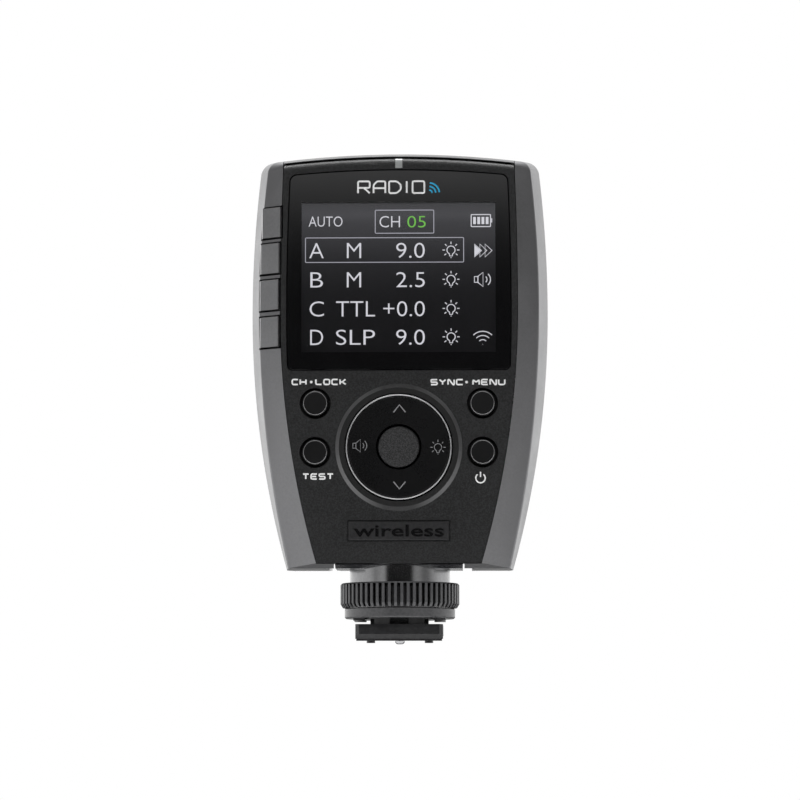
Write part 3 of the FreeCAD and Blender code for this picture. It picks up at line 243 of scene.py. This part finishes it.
def window_glass(centre, half):
    """Glass with a black printed border: clear over the display, opaque black around it.

    It reflects on its outer side only, because the clear part doesn't bend the light inside."""
    nodes = Nodes("window_glass_look")
    mask = None
    for index in (0, 2):
        away = nodes.math("ABSOLUTE", nodes.math("SUBTRACT", nodes.axis(index), centre[index]))
        inside = nodes.math("LESS_THAN", away, half[index])
        mask = inside if mask is None else nodes.math("MULTIPLY", mask, inside)
    clear = nodes.add("ShaderNodeBsdfTransparent")
    clear.inputs[0].default_value = (0.93, 0.93, 0.94, 1.0)
    ink = nodes.add("ShaderNodeBsdfDiffuse")
    nodes.link(nodes.mix(nodes.noise(300.0), (0.0035, 0.0035, 0.004), (0.006, 0.006, 0.0065)),
               ink.inputs[0])
    body = nodes.add("ShaderNodeMixShader")
    nodes.link(mask, body.inputs[0])
    nodes.link(ink.outputs[0], body.inputs[1])
    nodes.link(clear.outputs[0], body.inputs[2])
    gloss = nodes.add("ShaderNodeBsdfGlossy")
    nodes.link(nodes.span(nodes.noise(150.0), 0.3, 0.7, 0.03, 0.06), gloss.inputs["Roughness"])
    fresnel = nodes.add("ShaderNodeFresnel")
    fresnel.inputs["IOR"].default_value = 1.48
    inside = nodes.add("ShaderNodeNewGeometry").outputs["Backfacing"]
    whole = nodes.add("ShaderNodeMixShader")
    nodes.link(nodes.math("MULTIPLY", fresnel.outputs[0], nodes.math("SUBTRACT", 1.0, inside)),
               whole.inputs[0])
    nodes.link(body.outputs[0], whole.inputs[1])
    nodes.link(gloss.outputs[0], whole.inputs[2])
    nodes.link(whole.outputs[0], nodes.output.inputs[0])
    return nodes.material


# gap_shade_reach, where it is set, paints shade into a look's gaps, grooves and seams.
LOOKS = {
    # The cover's band paints a highlight on the ring round the pad.
    "cover_black": surface("cover_black_look", (0.0054, 0.0056, 0.006), 0.41, grain=0.26, grain_depth=0.1,
                           tint=0.3, wear=0.08, gap_shade_reach=0.15, specular=0.42, specked=0.85,
                           band=(0.0, 38.55, 12.45, 13.2, (0.13, 0.13, 0.132))),
    "shell_grey": surface("shell_grey_look", (0.185, 0.185, 0.19), 0.36, metal=0.85, grain=0.12,
                          grain_depth=0.003, tint=0.03, wear=0.08, gap_shade_reach=0.6),
    "housing_black": surface("housing_black_look", (0.02, 0.02, 0.022), 0.24, grain=0.25,
                             grain_depth=0.01, tint=0.18, wear=0.1, gap_shade_reach=0.5),
    "adhesive": surface("adhesive_look", (0.01, 0.01, 0.01), 0.8),
    "tray_white": surface("tray_white_look", (0.6, 0.6, 0.58), 0.5, grain_depth=0.01),
    "badge_black": surface("badge_black_look", (0.009, 0.009, 0.0098), 0.42, grain=0.2, grain_depth=0.02,
                           wear=0.3, specular=0.36),
    "light_pipe": surface("light_pipe_look", (0.25, 0.26, 0.26), 0.16, grain_depth=0.006, coat=0.6,
                          tint=0.06),
    "board_green": surface("board_green_look", (0.012, 0.09, 0.04), 0.35, grain=0.8, grain_depth=0.01),
    "switch_metal": surface("switch_metal_look", (0.55, 0.54, 0.5), 0.35, metal=1.0),
    "button_black": surface("button_black_look", (0.0042, 0.0042, 0.0046), 0.34, grain=0.25,
                            grain_depth=0.008, tint=0.1, specular=0.27),
    "button_grey": surface("button_grey_look", (0.225, 0.225, 0.23), 0.34, metal=0.85, grain=0.12,
                           grain_depth=0.003, tint=0.03, wear=0.1, gap_shade_reach=0.6),
    "pad_black": surface("pad_black_look", (0.003, 0.003, 0.0034), 0.28, grain=0.3, grain_depth=0.004,
                         tint=0.1, specular=0.24),
    "bearing_white": surface("bearing_white_look", (0.6, 0.6, 0.57), 0.4),
    "shield_can": surface("shield_can_look", (0.6, 0.6, 0.61), 0.3, metal=1.0),
    "antenna_metal": surface("antenna_metal_look", (0.75, 0.6, 0.3), 0.3, metal=1.0),
    "cell_wrap": surface("cell_wrap_look", (0.25, 0.27, 0.32), 0.3, tint=0.1),
    "socket_steel": surface("socket_steel_look", (0.5, 0.5, 0.51), 0.26, metal=1.0, brushed=(1, 1, 12),
                            grain_depth=0.006),
    "jack_black": surface("jack_black_look", (0.012, 0.012, 0.013), 0.3, grain_depth=0.01),
    "neck_gloss": surface("neck_gloss_look", (0.2, 0.2, 0.203), 0.14, metal=1.0, grain=0.6,
                          grain_depth=0.001, tint=0.03),
    "foot_metal": surface("foot_metal_look", (0.006, 0.006, 0.0068), 0.32, grain=0.18, grain_depth=0.008,
                          wear=0.3, tint=0.15),
    "insulator_black": surface("insulator_black_look", (0.014, 0.014, 0.014), 0.55),
    "contact_gold": surface("contact_gold_look", (0.83, 0.65, 0.3), 0.22, metal=1.0),
    "pin_silver": surface("pin_silver_look", (0.42, 0.42, 0.43), 0.14, metal=1.0, grain_depth=0.002),
    "spring_steel": surface("spring_steel_look", (0.65, 0.65, 0.66), 0.25, metal=1.0),
    "clamp_metal": surface("clamp_metal_look", (0.05, 0.05, 0.052), 0.32, grain=0.15, grain_depth=0.006,
                           wear=0.35, tint=0.12),
    "washer_steel": surface("washer_steel_look", (0.6, 0.6, 0.6), 0.3, metal=1.0),
    "ring_metal": surface("ring_metal_look", (0.055, 0.055, 0.058), 0.36, grain=0.15, grain_depth=0.006,
                          wear=0.25, tint=0.12, gap_shade_reach=0.9),
    "screw_steel": surface("screw_steel_look", (0.12, 0.12, 0.125), 0.3, metal=0.9, wear=0.4),
}
LIT_CENTRE = Vector((-0.1, 0, 74.3)) * MM
LIT_HALF = Vector((20.3, 0, 15.85)) * MM
LOOKS["display"] = display_face()
LOOKS["window_glass"] = window_glass(LIT_CENTRE, LIT_HALF)

slots = {part["node"]: part["material_slot"] for part in frame["record"]["subparts"]}
for node, piece in frame["nodes"].items():
    piece.data.materials.clear()
    piece.data.materials.append(LOOKS[slots[node]])
select_grain = surface("select_grain_look", (0.0105, 0.0105, 0.0112), 0.55, grain=0.34, grain_depth=0.3,
                       tint=0.3, specked=1.0)
frame["nodes"]["button_select"].data.materials[0] = select_grain

print_white = surface("print_white_look", (0.95, 0.95, 0.95), 0.5, grain_depth=0.0, tint=0.04)
print_grey = surface("print_grey_look", (0.26, 0.26, 0.27), 0.5, grain_depth=0.0, tint=0.08)
print_blue = surface("print_blue_look", (0.02, 0.4, 0.68), 0.5, grain_depth=0.0, tint=0.06)
# Painted highlights: these light materials go on thin rings laid round the pad and the round buttons, where
# their rounded edges catch the light.
highlight_ring_metal = surface("highlight_ring_metal_look", (0.56, 0.56, 0.57), 0.4, metal=1.0, grain_depth=0.003,
                     tint=0.06)
highlight_ring_grey = surface("highlight_ring_grey_look", (0.42, 0.42, 0.425), 0.38, metal=0.9, grain_depth=0.003)
badge_ink = surface("badge_ink_look", (0.0015, 0.0015, 0.0018), 0.2, grain_depth=0.002, tint=0.05)
lit_white = glowing("lit_white_look", (0.74, 0.74, 0.78))
lit_green = glowing("lit_green_look", (0.16, 0.55, 0.06))
lit_frame = glowing("lit_frame_look", (0.42, 0.42, 0.47))


# ---- drawn pieces ----------------------------------------------------------------------------
def settle(piece, material, body):
    piece.data.materials.clear()
    piece.data.materials.append(material)
    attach(piece, body)
    return piece


def lettering(name, words, x, z, depth, material, body="housing", weight=-0.01, proud=0.02):
    """Solid words filled into the box x = (left, right), z = (bottom, top), standing on Y = depth."""
    curve = bpy.data.curves.new(name, "FONT")
    curve.body = words
    curve.size = 1.0
    curve.offset = weight
    curve.extrude = 0.5
    curve.resolution_u = 4
    draft = bpy.data.objects.new(name + "_draft", curve)
    scene.collection.objects.link(draft)
    mesh = bpy.data.meshes.new_from_object(draft.evaluated_get(bpy.context.evaluated_depsgraph_get()))
    bpy.data.objects.remove(draft)
    spots = [v.co for v in mesh.vertices]
    low = Vector([min(c[i] for c in spots) for i in range(2)])
    high = Vector([max(c[i] for c in spots) for i in range(2)])
    for spot in spots:
        across, up = (spot[0] - low[0]) / (high[0] - low[0]), (spot[1] - low[1]) / (high[1] - low[1])
        spot[:] = ((x[0] + across * (x[1] - x[0])) * MM, (depth - proud * (0.5 + spot[2])) * MM,
                   (z[0] + up * (z[1] - z[0])) * MM)
    piece = bpy.data.objects.new(name, mesh)
    scene.collection.objects.link(piece)
    return settle(piece, material, body)


def strokes(name, lines, width, depth, material, body="housing", proud=0.025):
    """Solid flattened strokes on Y = depth.

    lines holds lists of (x, z) in mm, and a closed one repeats its start."""
    curve = bpy.data.curves.new(name, "CURVE")
    curve.dimensions = "3D"
    curve.bevel_depth = width / 2
    curve.bevel_resolution = 2
    curve.use_fill_caps = True
    for line in lines:
        closed = len(line) > 2 and math.dist(line[0], line[-1]) < 1e-6
        points = line[:-1] if closed else line
        spline = curve.splines.new("POLY")
        spline.points.add(len(points) - 1)
        for point, (x, z) in zip(spline.points, points):
            point.co = (x, 0.0, z, 1.0)
        spline.use_cyclic_u = closed
    draft = bpy.data.objects.new(name + "_draft", curve)
    scene.collection.objects.link(draft)
    mesh = bpy.data.meshes.new_from_object(draft.evaluated_get(bpy.context.evaluated_depsgraph_get()))
    bpy.data.objects.remove(draft)
    for vertex in mesh.vertices:
        x, y, z = vertex.co
        vertex.co = (x * MM, (depth + y / width * 2 * proud) * MM, z * MM)
    piece = bpy.data.objects.new(name, mesh)
    scene.collection.objects.link(piece)
    return settle(piece, material, body)


LETTERS = {
    "A": [[(0, 0), (0, 0.7), (0.3, 1), (1, 1), (1, 0)], [(0, 0.42), (1, 0.42)]],
    "C": [[(1, 1), (0, 1), (0, 0), (1, 0)]],
    "D": [[(0, 0), (0, 1), (0.65, 1), (1, 0.7), (1, 0.3), (0.65, 0), (0, 0)]],
    "E": [[(1, 1), (0, 1), (0, 0), (1, 0)], [(0, 0.5), (0.9, 0.5)]],
    "H": [[(0, 0), (0, 1)], [(1, 0), (1, 1)], [(0, 0.5), (1, 0.5)]],
    "I": [[(0.5, 0), (0.5, 1)]],
    "K": [[(0, 0), (0, 1)], [(0.95, 1), (0.35, 0.5), (1, 0)], [(0, 0.5), (0.35, 0.5)]],
    "L": [[(0, 1), (0, 0), (1, 0)]],
    "M": [[(0, 0), (0, 1), (0.5, 0.45), (1, 1), (1, 0)]],
    "N": [[(0, 0), (0, 1), (0.2, 1), (0.8, 0), (1, 0), (1, 1)]],
    "O": [[(0, 0), (0, 1), (1, 1), (1, 0), (0, 0)]],
    "R": [[(0, 0), (0, 1), (1, 1), (1, 0.45), (0, 0.45)], [(0.5, 0.45), (1, 0)]],
    "S": [[(1, 1), (0, 1), (0, 0.5), (1, 0.5), (1, 0), (0, 0)]],
    "T": [[(0, 1), (1, 1)], [(0.5, 1), (0.5, 0)]],
    "U": [[(0, 1), (0, 0), (1, 0), (1, 1)]],
    "Y": [[(0, 1), (0.5, 0.5), (1, 1)], [(0.5, 0.5), (0.5, 0)]],
    "·": [],
}


def eased(line, reach):
    """Cut a line's sharp corners with two short steps, reach mm to each side."""
    closed = line[0] == line[-1]
    points = [Vector(point) for point in (line[:-1] if closed else line)]
    count, out = len(points), []
    for i, here in enumerate(points):
        if not closed and i in (0, count - 1):
            out.append(tuple(here))
            continue
        before, after = points[i - 1] - here, points[(i + 1) % count] - here
        step = min(reach, before.length * 0.45, after.length * 0.45)
        a, b = here + before.normalized() * step, here + after.normalized() * step
        out += [tuple(a), tuple((a + b) * 0.25 + here * 0.5), tuple(b)]
    return out + [out[0]] if closed else out


def squared(words, x, z, gap, widths=None):
    """Stroke lines of squared capitals filling the box x = (left, right), z = (bottom, top)."""
    widths = {"I": 0.35, "·": 0.9, **(widths or {})}
    wide = [widths.get(letter, 1.0) for letter in words]
    unit = (x[1] - x[0] - gap * (len(words) - 1)) / sum(wide)
    left, lines = x[0], []
    for letter, share in zip(words, wide):
        lines += [eased([(left + px * unit * share, z[0] + pz * (z[1] - z[0])) for px, pz in line], 0.3)
                  for line in LETTERS[letter]]
        left += unit * share + gap
    return lines


def arc(cx, cz, radius, start, end, steps=16):
    return [(cx + radius * math.cos(math.radians(start + (end - start) * k / steps)),
             cz + radius * math.sin(math.radians(start + (end - start) * k / steps)))
            for k in range(steps + 1)]


def oblong(x, z, round_off=0.0):
    (a, b), (c, d) = x, z
    if not round_off:
        return [(a, c), (b, c), (b, d), (a, d), (a, c)]
    r = round_off
    return (arc(b - r, d - r, r, 0, 90, 4) + arc(a + r, d - r, r, 90, 180, 4)
            + arc(a + r, c + r, r, 180, 270, 4) + arc(b - r, c + r, r, 270, 360, 4) + [(b, d - r)])


def bulb(cx, cz, size):
    """A round bulb with seven rays, size mm tall."""
    s = size / 3.6
    lines = [arc(cx, cz + 0.1 * s, 0.88 * s, -66, 246),
             [(cx - 0.36 * s, cz - 0.7 * s), (cx - 0.28 * s, cz - 1.2 * s), (cx + 0.28 * s, cz - 1.2 * s),
              (cx + 0.36 * s, cz - 0.7 * s)],
             [(cx - 0.1 * s, cz - 1.55 * s), (cx + 0.1 * s, cz - 1.55 * s)]]
    for turn in (-38, 0, 45, 90, 135, 180, 218):
        a = math.radians(turn)
        lines.append([(cx + 1.3 * s * math.cos(a), cz + (0.1 + 1.3 * math.sin(a)) * s),
                      (cx + 1.82 * s * math.cos(a), cz + (0.1 + 1.82 * math.sin(a)) * s)])
    return lines


def speaker(cx, cz, size):
    """A loudspeaker with two sound arcs, size mm wide."""
    s = size / 3.7
    return [[(cx - 1.8 * s, cz - 0.62 * s), (cx - 1.8 * s, cz + 0.62 * s), (cx - 1.1 * s, cz + 0.62 * s),
             (cx + 0.05 * s, cz + 1.55 * s), (cx + 0.05 * s, cz - 1.55 * s), (cx - 1.1 * s, cz - 0.62 * s),
             (cx - 1.8 * s, cz - 0.62 * s)],
            [(cx - 1.05 * s, cz - 0.62 * s), (cx - 1.05 * s, cz + 0.62 * s)],
            arc(cx + 0.05 * s, cz, 0.85 * s, -46, 46, 8), arc(cx + 0.05 * s, cz, 1.6 * s, -48, 48, 10)]


def waves(cx, cz, size):
    """Three nested arcs over a dot: a plain radio sign."""
    s = size / 3
    return [arc(cx, cz, 0.9 * s, 45, 135, 8), arc(cx, cz, 1.7 * s, 45, 135, 10),
            arc(cx, cz, 2.5 * s, 45, 135, 12), [(cx - 0.02, cz), (cx + 0.02, cz)]]


def highlight_ring(name, centre, radius, thick, depth, material, body):
    """A thin light ring lying around a round button: a painted highlight where the button's rounded edge
    catches the light.
    """
    bpy.ops.mesh.primitive_torus_add(major_radius=radius * MM, minor_radius=thick * MM,
                                     major_segments=96, minor_segments=10,
                                     location=(centre[0] * MM, depth * MM, centre[1] * MM),
                                     rotation=(math.pi / 2, 0, 0))
    piece = bpy.context.object
    piece.name = name
    bpy.ops.object.transform_apply(location=True, rotation=True, scale=True)
    bpy.ops.object.shade_smooth()
    return settle(piece, material, body)


# ---- display content -------------------------------------------------------------------------
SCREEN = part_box("lcd_panel")[0][1] / MM
TALL = 3.2
# group letter: (foot of its row in mm, mode, level)
ROWS = {"A": (78.6, "M", "9.0"), "B": (72.4, "M", "2.5"), "C": (66.25, "TTL", "+0.0"),
        "D": (60.25, "SLP", "9.0")}
lettering("screen_mode_word", "AUTO", (-18.98, -11.88), (85.3, 87.45), SCREEN, lit_white)
lettering("screen_channel_word", "CH", (-4.1, 0.2), (85.1, 87.5), SCREEN, lit_white)
lettering("screen_channel_number", "05", (1.75, 5.6), (85.05, 87.5), SCREEN, lit_green)
LETTER_SPANS = {"A": (-18.85, -15.8), "B": (-18.6, -15.95), "C": (-18.75, -15.75), "D": (-18.6, -15.9)}
for letter, (floor, mode, level) in ROWS.items():
    tops = (floor, floor + TALL)
    lettering(f"screen_group_{letter}", letter, LETTER_SPANS[letter], tops, SCREEN, lit_white)
    lettering(f"screen_mode_{letter}", mode, (-10.95, -7.95) if mode == "M" else (-13.19, -5.03), tops,
              SCREEN, lit_white)
    lettering(f"screen_level_{letter}", level, (-3.3 if level[0] == "+" else -0.6, 5.4), tops, SCREEN,
              lit_white)
icons = [line for floor, *_ in ROWS.values() for line in bulb(10.9, floor + 1.55, 3.5)]
icons += speaker(17.55, 74.0, 3.6)
icons += waves(17.5, 60.3, 3.3)
icons += [[(x, 78.75), (x, 81.5), (x + 1.45, 80.12), (x, 78.75)] for x in (15.85, 16.95, 18.05)]
strokes("screen_icons", icons, 0.2, SCREEN, lit_white)
strokes("screen_fast_mark", [[(15.95 + k * 0.13, 79.0 + k * 0.123), (15.95 + k * 0.13, 81.24 - k * 0.123)]
                             for k in range(9)], 0.18, SCREEN, lit_white)
chosen_row = oblong((-19.65, 13.55), (77.7, 82.9), 0.2)
channel_box = oblong((-5.0, 7.3), (83.85, 88.75), 0.2)
strokes("screen_boxes", [chosen_row, channel_box], 0.17, SCREEN, lit_frame)
battery = [oblong((15.15, 19.2), (85.2, 87.75), 0.15), [(19.45, 86.05), (19.45, 86.95)]]
strokes("screen_battery", battery, 0.2, SCREEN, lit_white)
strokes("screen_battery_bars", [[(15.85 + 0.88 * k, 85.72), (15.85 + 0.88 * k, 87.24)] for k in range(4)],
        0.58, SCREEN, lit_white)

# ---- printed marks ---------------------------------------------------------------------------
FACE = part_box("display_lens")[0][1] / MM
COVER = FACE
strokes("window_title", squared("RADIO", (-8.55, 5.35), (92.0, 94.5), 0.8), 0.38, FACE, print_white)
strokes("window_accent", [arc(6.3, 91.95, r, 5, 85, 8) for r in (0.7, 1.45, 2.2)], 0.34, FACE, print_blue)
strokes("label_channel", squared("CH·LOCK", (-22.2, -11.05), (51.7, 52.74), 0.5), 0.34, COVER, print_white)
strokes("label_sync", squared("SYNC·MENU", (6.7, 22.05), (51.6, 52.64), 0.5), 0.34, COVER, print_white)
strokes("label_test", squared("TEST", (-19.9, -13.65), (31.96, 33.0), 0.5), 0.34, COVER, print_white)
strokes("label_dots", [arc(-18.24, 52.22, 0.13, 0, 360, 12), arc(14.1, 52.12, 0.13, 0, 360, 12)], 0.34,
        COVER, print_white)
strokes("label_power", [arc(16.95, 32.1, 0.98, 128, 412, 20), [(16.95, 32.3), (16.95, 33.4)]], 0.3,
        COVER, print_white)

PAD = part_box("dpad_ring")[0][1] / MM
pad_low, pad_high = (Vector(corner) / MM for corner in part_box("dpad_ring"))
pad_z = (pad_low.z + pad_high.z) / 2
up_arrow = [(-1.08, 45.75), (0.15, 47.3), (1.4, 45.75)]
down_arrow = [(-1.08, 31.3), (0.15, 29.8), (1.4, 31.3)]
strokes("pad_arrows", [up_arrow, down_arrow], 0.26, PAD, print_grey, "pad")
strokes("pad_icons", speaker(-8.0, 38.8, 3.1) + bulb(8.15, 38.35, 3.1), 0.16, PAD, print_grey,
        "pad")
# Painted highlights: light rings round the pad, the select button and the round buttons.
highlight_ring("pad_highlight_ring", (0, pad_z), 10.84, 0.16, PAD + 0.2, highlight_ring_metal, "pad")
select_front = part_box("button_select")[0][1] / MM
highlight_ring("select_highlight_ring", (0, pad_z), 4.0, 0.08, select_front + 0.2, highlight_ring_grey, "select")
for name in ("channel", "test", "sync", "power"):
    low, high = (Vector(corner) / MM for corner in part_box(f"button_{name}"))
    middle = (low + high) / 2
    highlight_ring(f"{name}_highlight_ring", (middle.x, middle.z), 2.38, 0.075, low.y + 0.1, highlight_ring_grey,
              name)

# ---- badge: a plain word ---------------------------------------------------------------------
badge_low, badge_high = (Vector(corner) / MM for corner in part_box("badge_frame"))
lettering("badge_word", "wireless", (badge_low.x + 1.1, badge_high.x - 1.1),
          (badge_low.z + 0.75, badge_high.z - 0.75), badge_low.y, badge_ink, weight=0.012,
          proud=0.14)

# ---- stage -----------------------------------------------------------------------------------
world = bpy.data.worlds.new("studio")
world.use_nodes = True
world.node_tree.nodes["Background"].inputs[0].default_value = (1.0, 1.0, 1.0, 1.0)
world.node_tree.nodes["Background"].inputs[1].default_value = 1.0
scene.world = world


# The dome's brightness. A wall's stops are (turn, level), where turn is 0 in front of the object and 1
# behind it. A rise's stops are (height, factor), where height is 0 at the dome's foot and 1 at its top.
RIGHT_WALL = [(0.0, 0.07), (0.17, 0.3), (0.24, 0.36), (0.32, 0.18), (0.38, 0.21), (0.46, 0.42), (0.6, 0.66),
              (0.75, 0.7), (1.0, 0.66)]
LEFT_WALL = [(0.0, 0.2), (0.2, 0.42), (0.24, 0.42), (0.31, 0.3), (0.4, 0.54), (0.6, 0.64), (0.75, 0.76),
             (1.0, 0.74)]
WALL_RISE = [(0.0, 1.5), (0.46, 1.4), (0.5, 1.3), (0.53, 1.2), (0.55, 0.5), (0.575, 0.2), (0.8, 0.3),
             (1.0, 0.9)]
BACK_RISE = [(0.46, 0.4), (0.5, 1.02), (0.58, 1.02), (0.64, 0.86), (1.0, 0.86)]
# In front of the object the dome is dark up to the lip, a bright edge between two heights in metres.
WALL_GAIN = 2.0
BACK_TURNS = (0.62, 0.74)
FRONT_TURNS = (0.14, 0.2)
FRONT_DARK = 0.03
FRONT_BRIGHT = 1.2
FRONT_HIGH = (0.95, 0.95, 0.95)
LIP_HEIGHTS = (0.25, 0.355)
LIP_CURVE = 3.4
HIGH_HEIGHTS = (0.36, 0.6)
DOME_RADIUS = 1.5
FLOOR_RADIUS = 0.3
FLOOR_HEIGHT = -0.06


def dome_material():
    """The studio around the object: a dark gap behind the camera, soft walls and a bright back."""
    nodes = Nodes("studio_dome")
    glow = nodes.add("ShaderNodeEmission")
    split = nodes.add("ShaderNodeSeparateXYZ")
    nodes.link(nodes.add("ShaderNodeNewGeometry").outputs["Position"], split.inputs[0])
    x, y, z = split.outputs
    turn = nodes.math("DIVIDE", nodes.math("ARCTAN2", x, nodes.math("MULTIPLY", y, -1.0)), math.pi)
    right = nodes.ramp(turn, RIGHT_WALL)
    left = nodes.ramp(nodes.math("MULTIPLY", turn, -1.0), LEFT_WALL)
    wall = nodes.mix(nodes.math("GREATER_THAN", x, 0.0), left, right)
    rise = nodes.span(z, -DOME_RADIUS, DOME_RADIUS, 0.0, 1.0)
    away = nodes.math("ABSOLUTE", turn)
    behind = nodes.span(away, *BACK_TURNS, 0.0, 1.0, smooth=True)
    rises = nodes.mix(behind, nodes.ramp(rise, WALL_RISE), nodes.ramp(rise, BACK_RISE))
    wall = nodes.math("MULTIPLY", nodes.math("MULTIPLY", wall, rises), WALL_GAIN)
    front = nodes.math("POWER", nodes.span(z, *LIP_HEIGHTS, 0.0, 1.0), LIP_CURVE)
    front = nodes.math("ADD", nodes.math("MULTIPLY", front, FRONT_BRIGHT), FRONT_DARK)
    front = nodes.mix(nodes.span(z, *HIGH_HEIGHTS, 0.0, 1.0, smooth=True), front, FRONT_HIGH)
    level = nodes.mix(nodes.span(away, *FRONT_TURNS, 0.0, 1.0, smooth=True), front, wall)
    nodes.link(level, glow.inputs["Strength"])
    nodes.link(glow.outputs[0], nodes.output.inputs[0])
    return nodes.material


def floor_material():
    """The plain pale floor, clear from below so that it never hides the object."""
    look = surface("floor_look", (0.9, 0.9, 0.9), 0.6, grain=3.0, grain_depth=0.0, tint=0.01)
    tree = look.node_tree
    out = next(node for node in tree.nodes if node.type == "OUTPUT_MATERIAL")
    sides = tree.nodes.new("ShaderNodeMixShader")
    tree.links.new(tree.nodes.new("ShaderNodeNewGeometry").outputs["Backfacing"], sides.inputs[0])
    tree.links.new(out.inputs[0].links[0].from_socket, sides.inputs[1])
    tree.links.new(tree.nodes.new("ShaderNodeBsdfTransparent").outputs[0], sides.inputs[2])
    tree.links.new(sides.outputs[0], out.inputs[0])
    return look


bpy.ops.mesh.primitive_circle_add(vertices=128, radius=FLOOR_RADIUS, fill_type="NGON",
                                  location=(0, 0, FLOOR_HEIGHT))
floor = bpy.context.object
floor.name = "floor"
floor.data.materials.append(floor_material())
bpy.ops.mesh.primitive_uv_sphere_add(segments=48, ring_count=24, radius=DOME_RADIUS, location=(0, 0, 0))
dome = bpy.context.object
dome.name = "studio_dome"
dome.data.materials.append(dome_material())
dome.visible_camera = False

# a dim card over the floor behind the foot, seen only in reflections, so that the undersides stay dark
shade = Nodes("shade_look")
shade_glow = shade.add("ShaderNodeEmission")
shade_glow.inputs["Strength"].default_value = 0.16
shade.link(shade_glow.outputs[0], shade.output.inputs[0])
bpy.ops.mesh.primitive_plane_add(size=1.0, location=(0, 0.21, -0.055))
card = bpy.context.object
card.name = "underside_shade"
card.scale = (0.6, 0.36, 1.0)
card.data.materials.append(shade.material)
card.visible_camera = card.visible_diffuse = card.visible_shadow = card.visible_transmission = False


def softbox(name, centre, size, power, aim=(0, 0, 0.05)):
    """A rectangular lamp at centre that points at aim and isn't seen itself."""
    light = bpy.data.lights.new(name, "AREA")
    light.shape = "RECTANGLE"
    light.size, light.size_y = size
    light.energy = power
    lamp = bpy.data.objects.new(name, light)
    lamp.location = centre
    lamp.rotation_euler = (Vector(aim) - Vector(centre)).to_track_quat("-Z", "Y").to_euler()
    lamp.visible_camera = False
    scene.collection.objects.link(lamp)


softbox("top_box", (0.0, 0.08, 0.9), (0.7, 0.24), 8.0)

# ---- camera: a long lens a little below the middle of the control face ------------------------
camera = bpy.data.cameras.new("camera")
camera.sensor_width = 36.0
camera.lens = 138.46
camera.clip_start = 0.05
eye = bpy.data.objects.new("camera", camera)
target = Vector((0.25, -11.6, 48.4)) * MM
azimuth, elevation, distance = math.radians(1.2), math.radians(-6.0), 0.64
eye.location = target + distance * Vector((math.sin(azimuth) * math.cos(elevation),
                                           -math.cos(azimuth) * math.cos(elevation),
                                           math.sin(elevation)))
eye.rotation_euler = (target - eye.location).to_track_quat("-Z", "Y").to_euler()
scene.collection.objects.link(eye)
scene.camera = eye
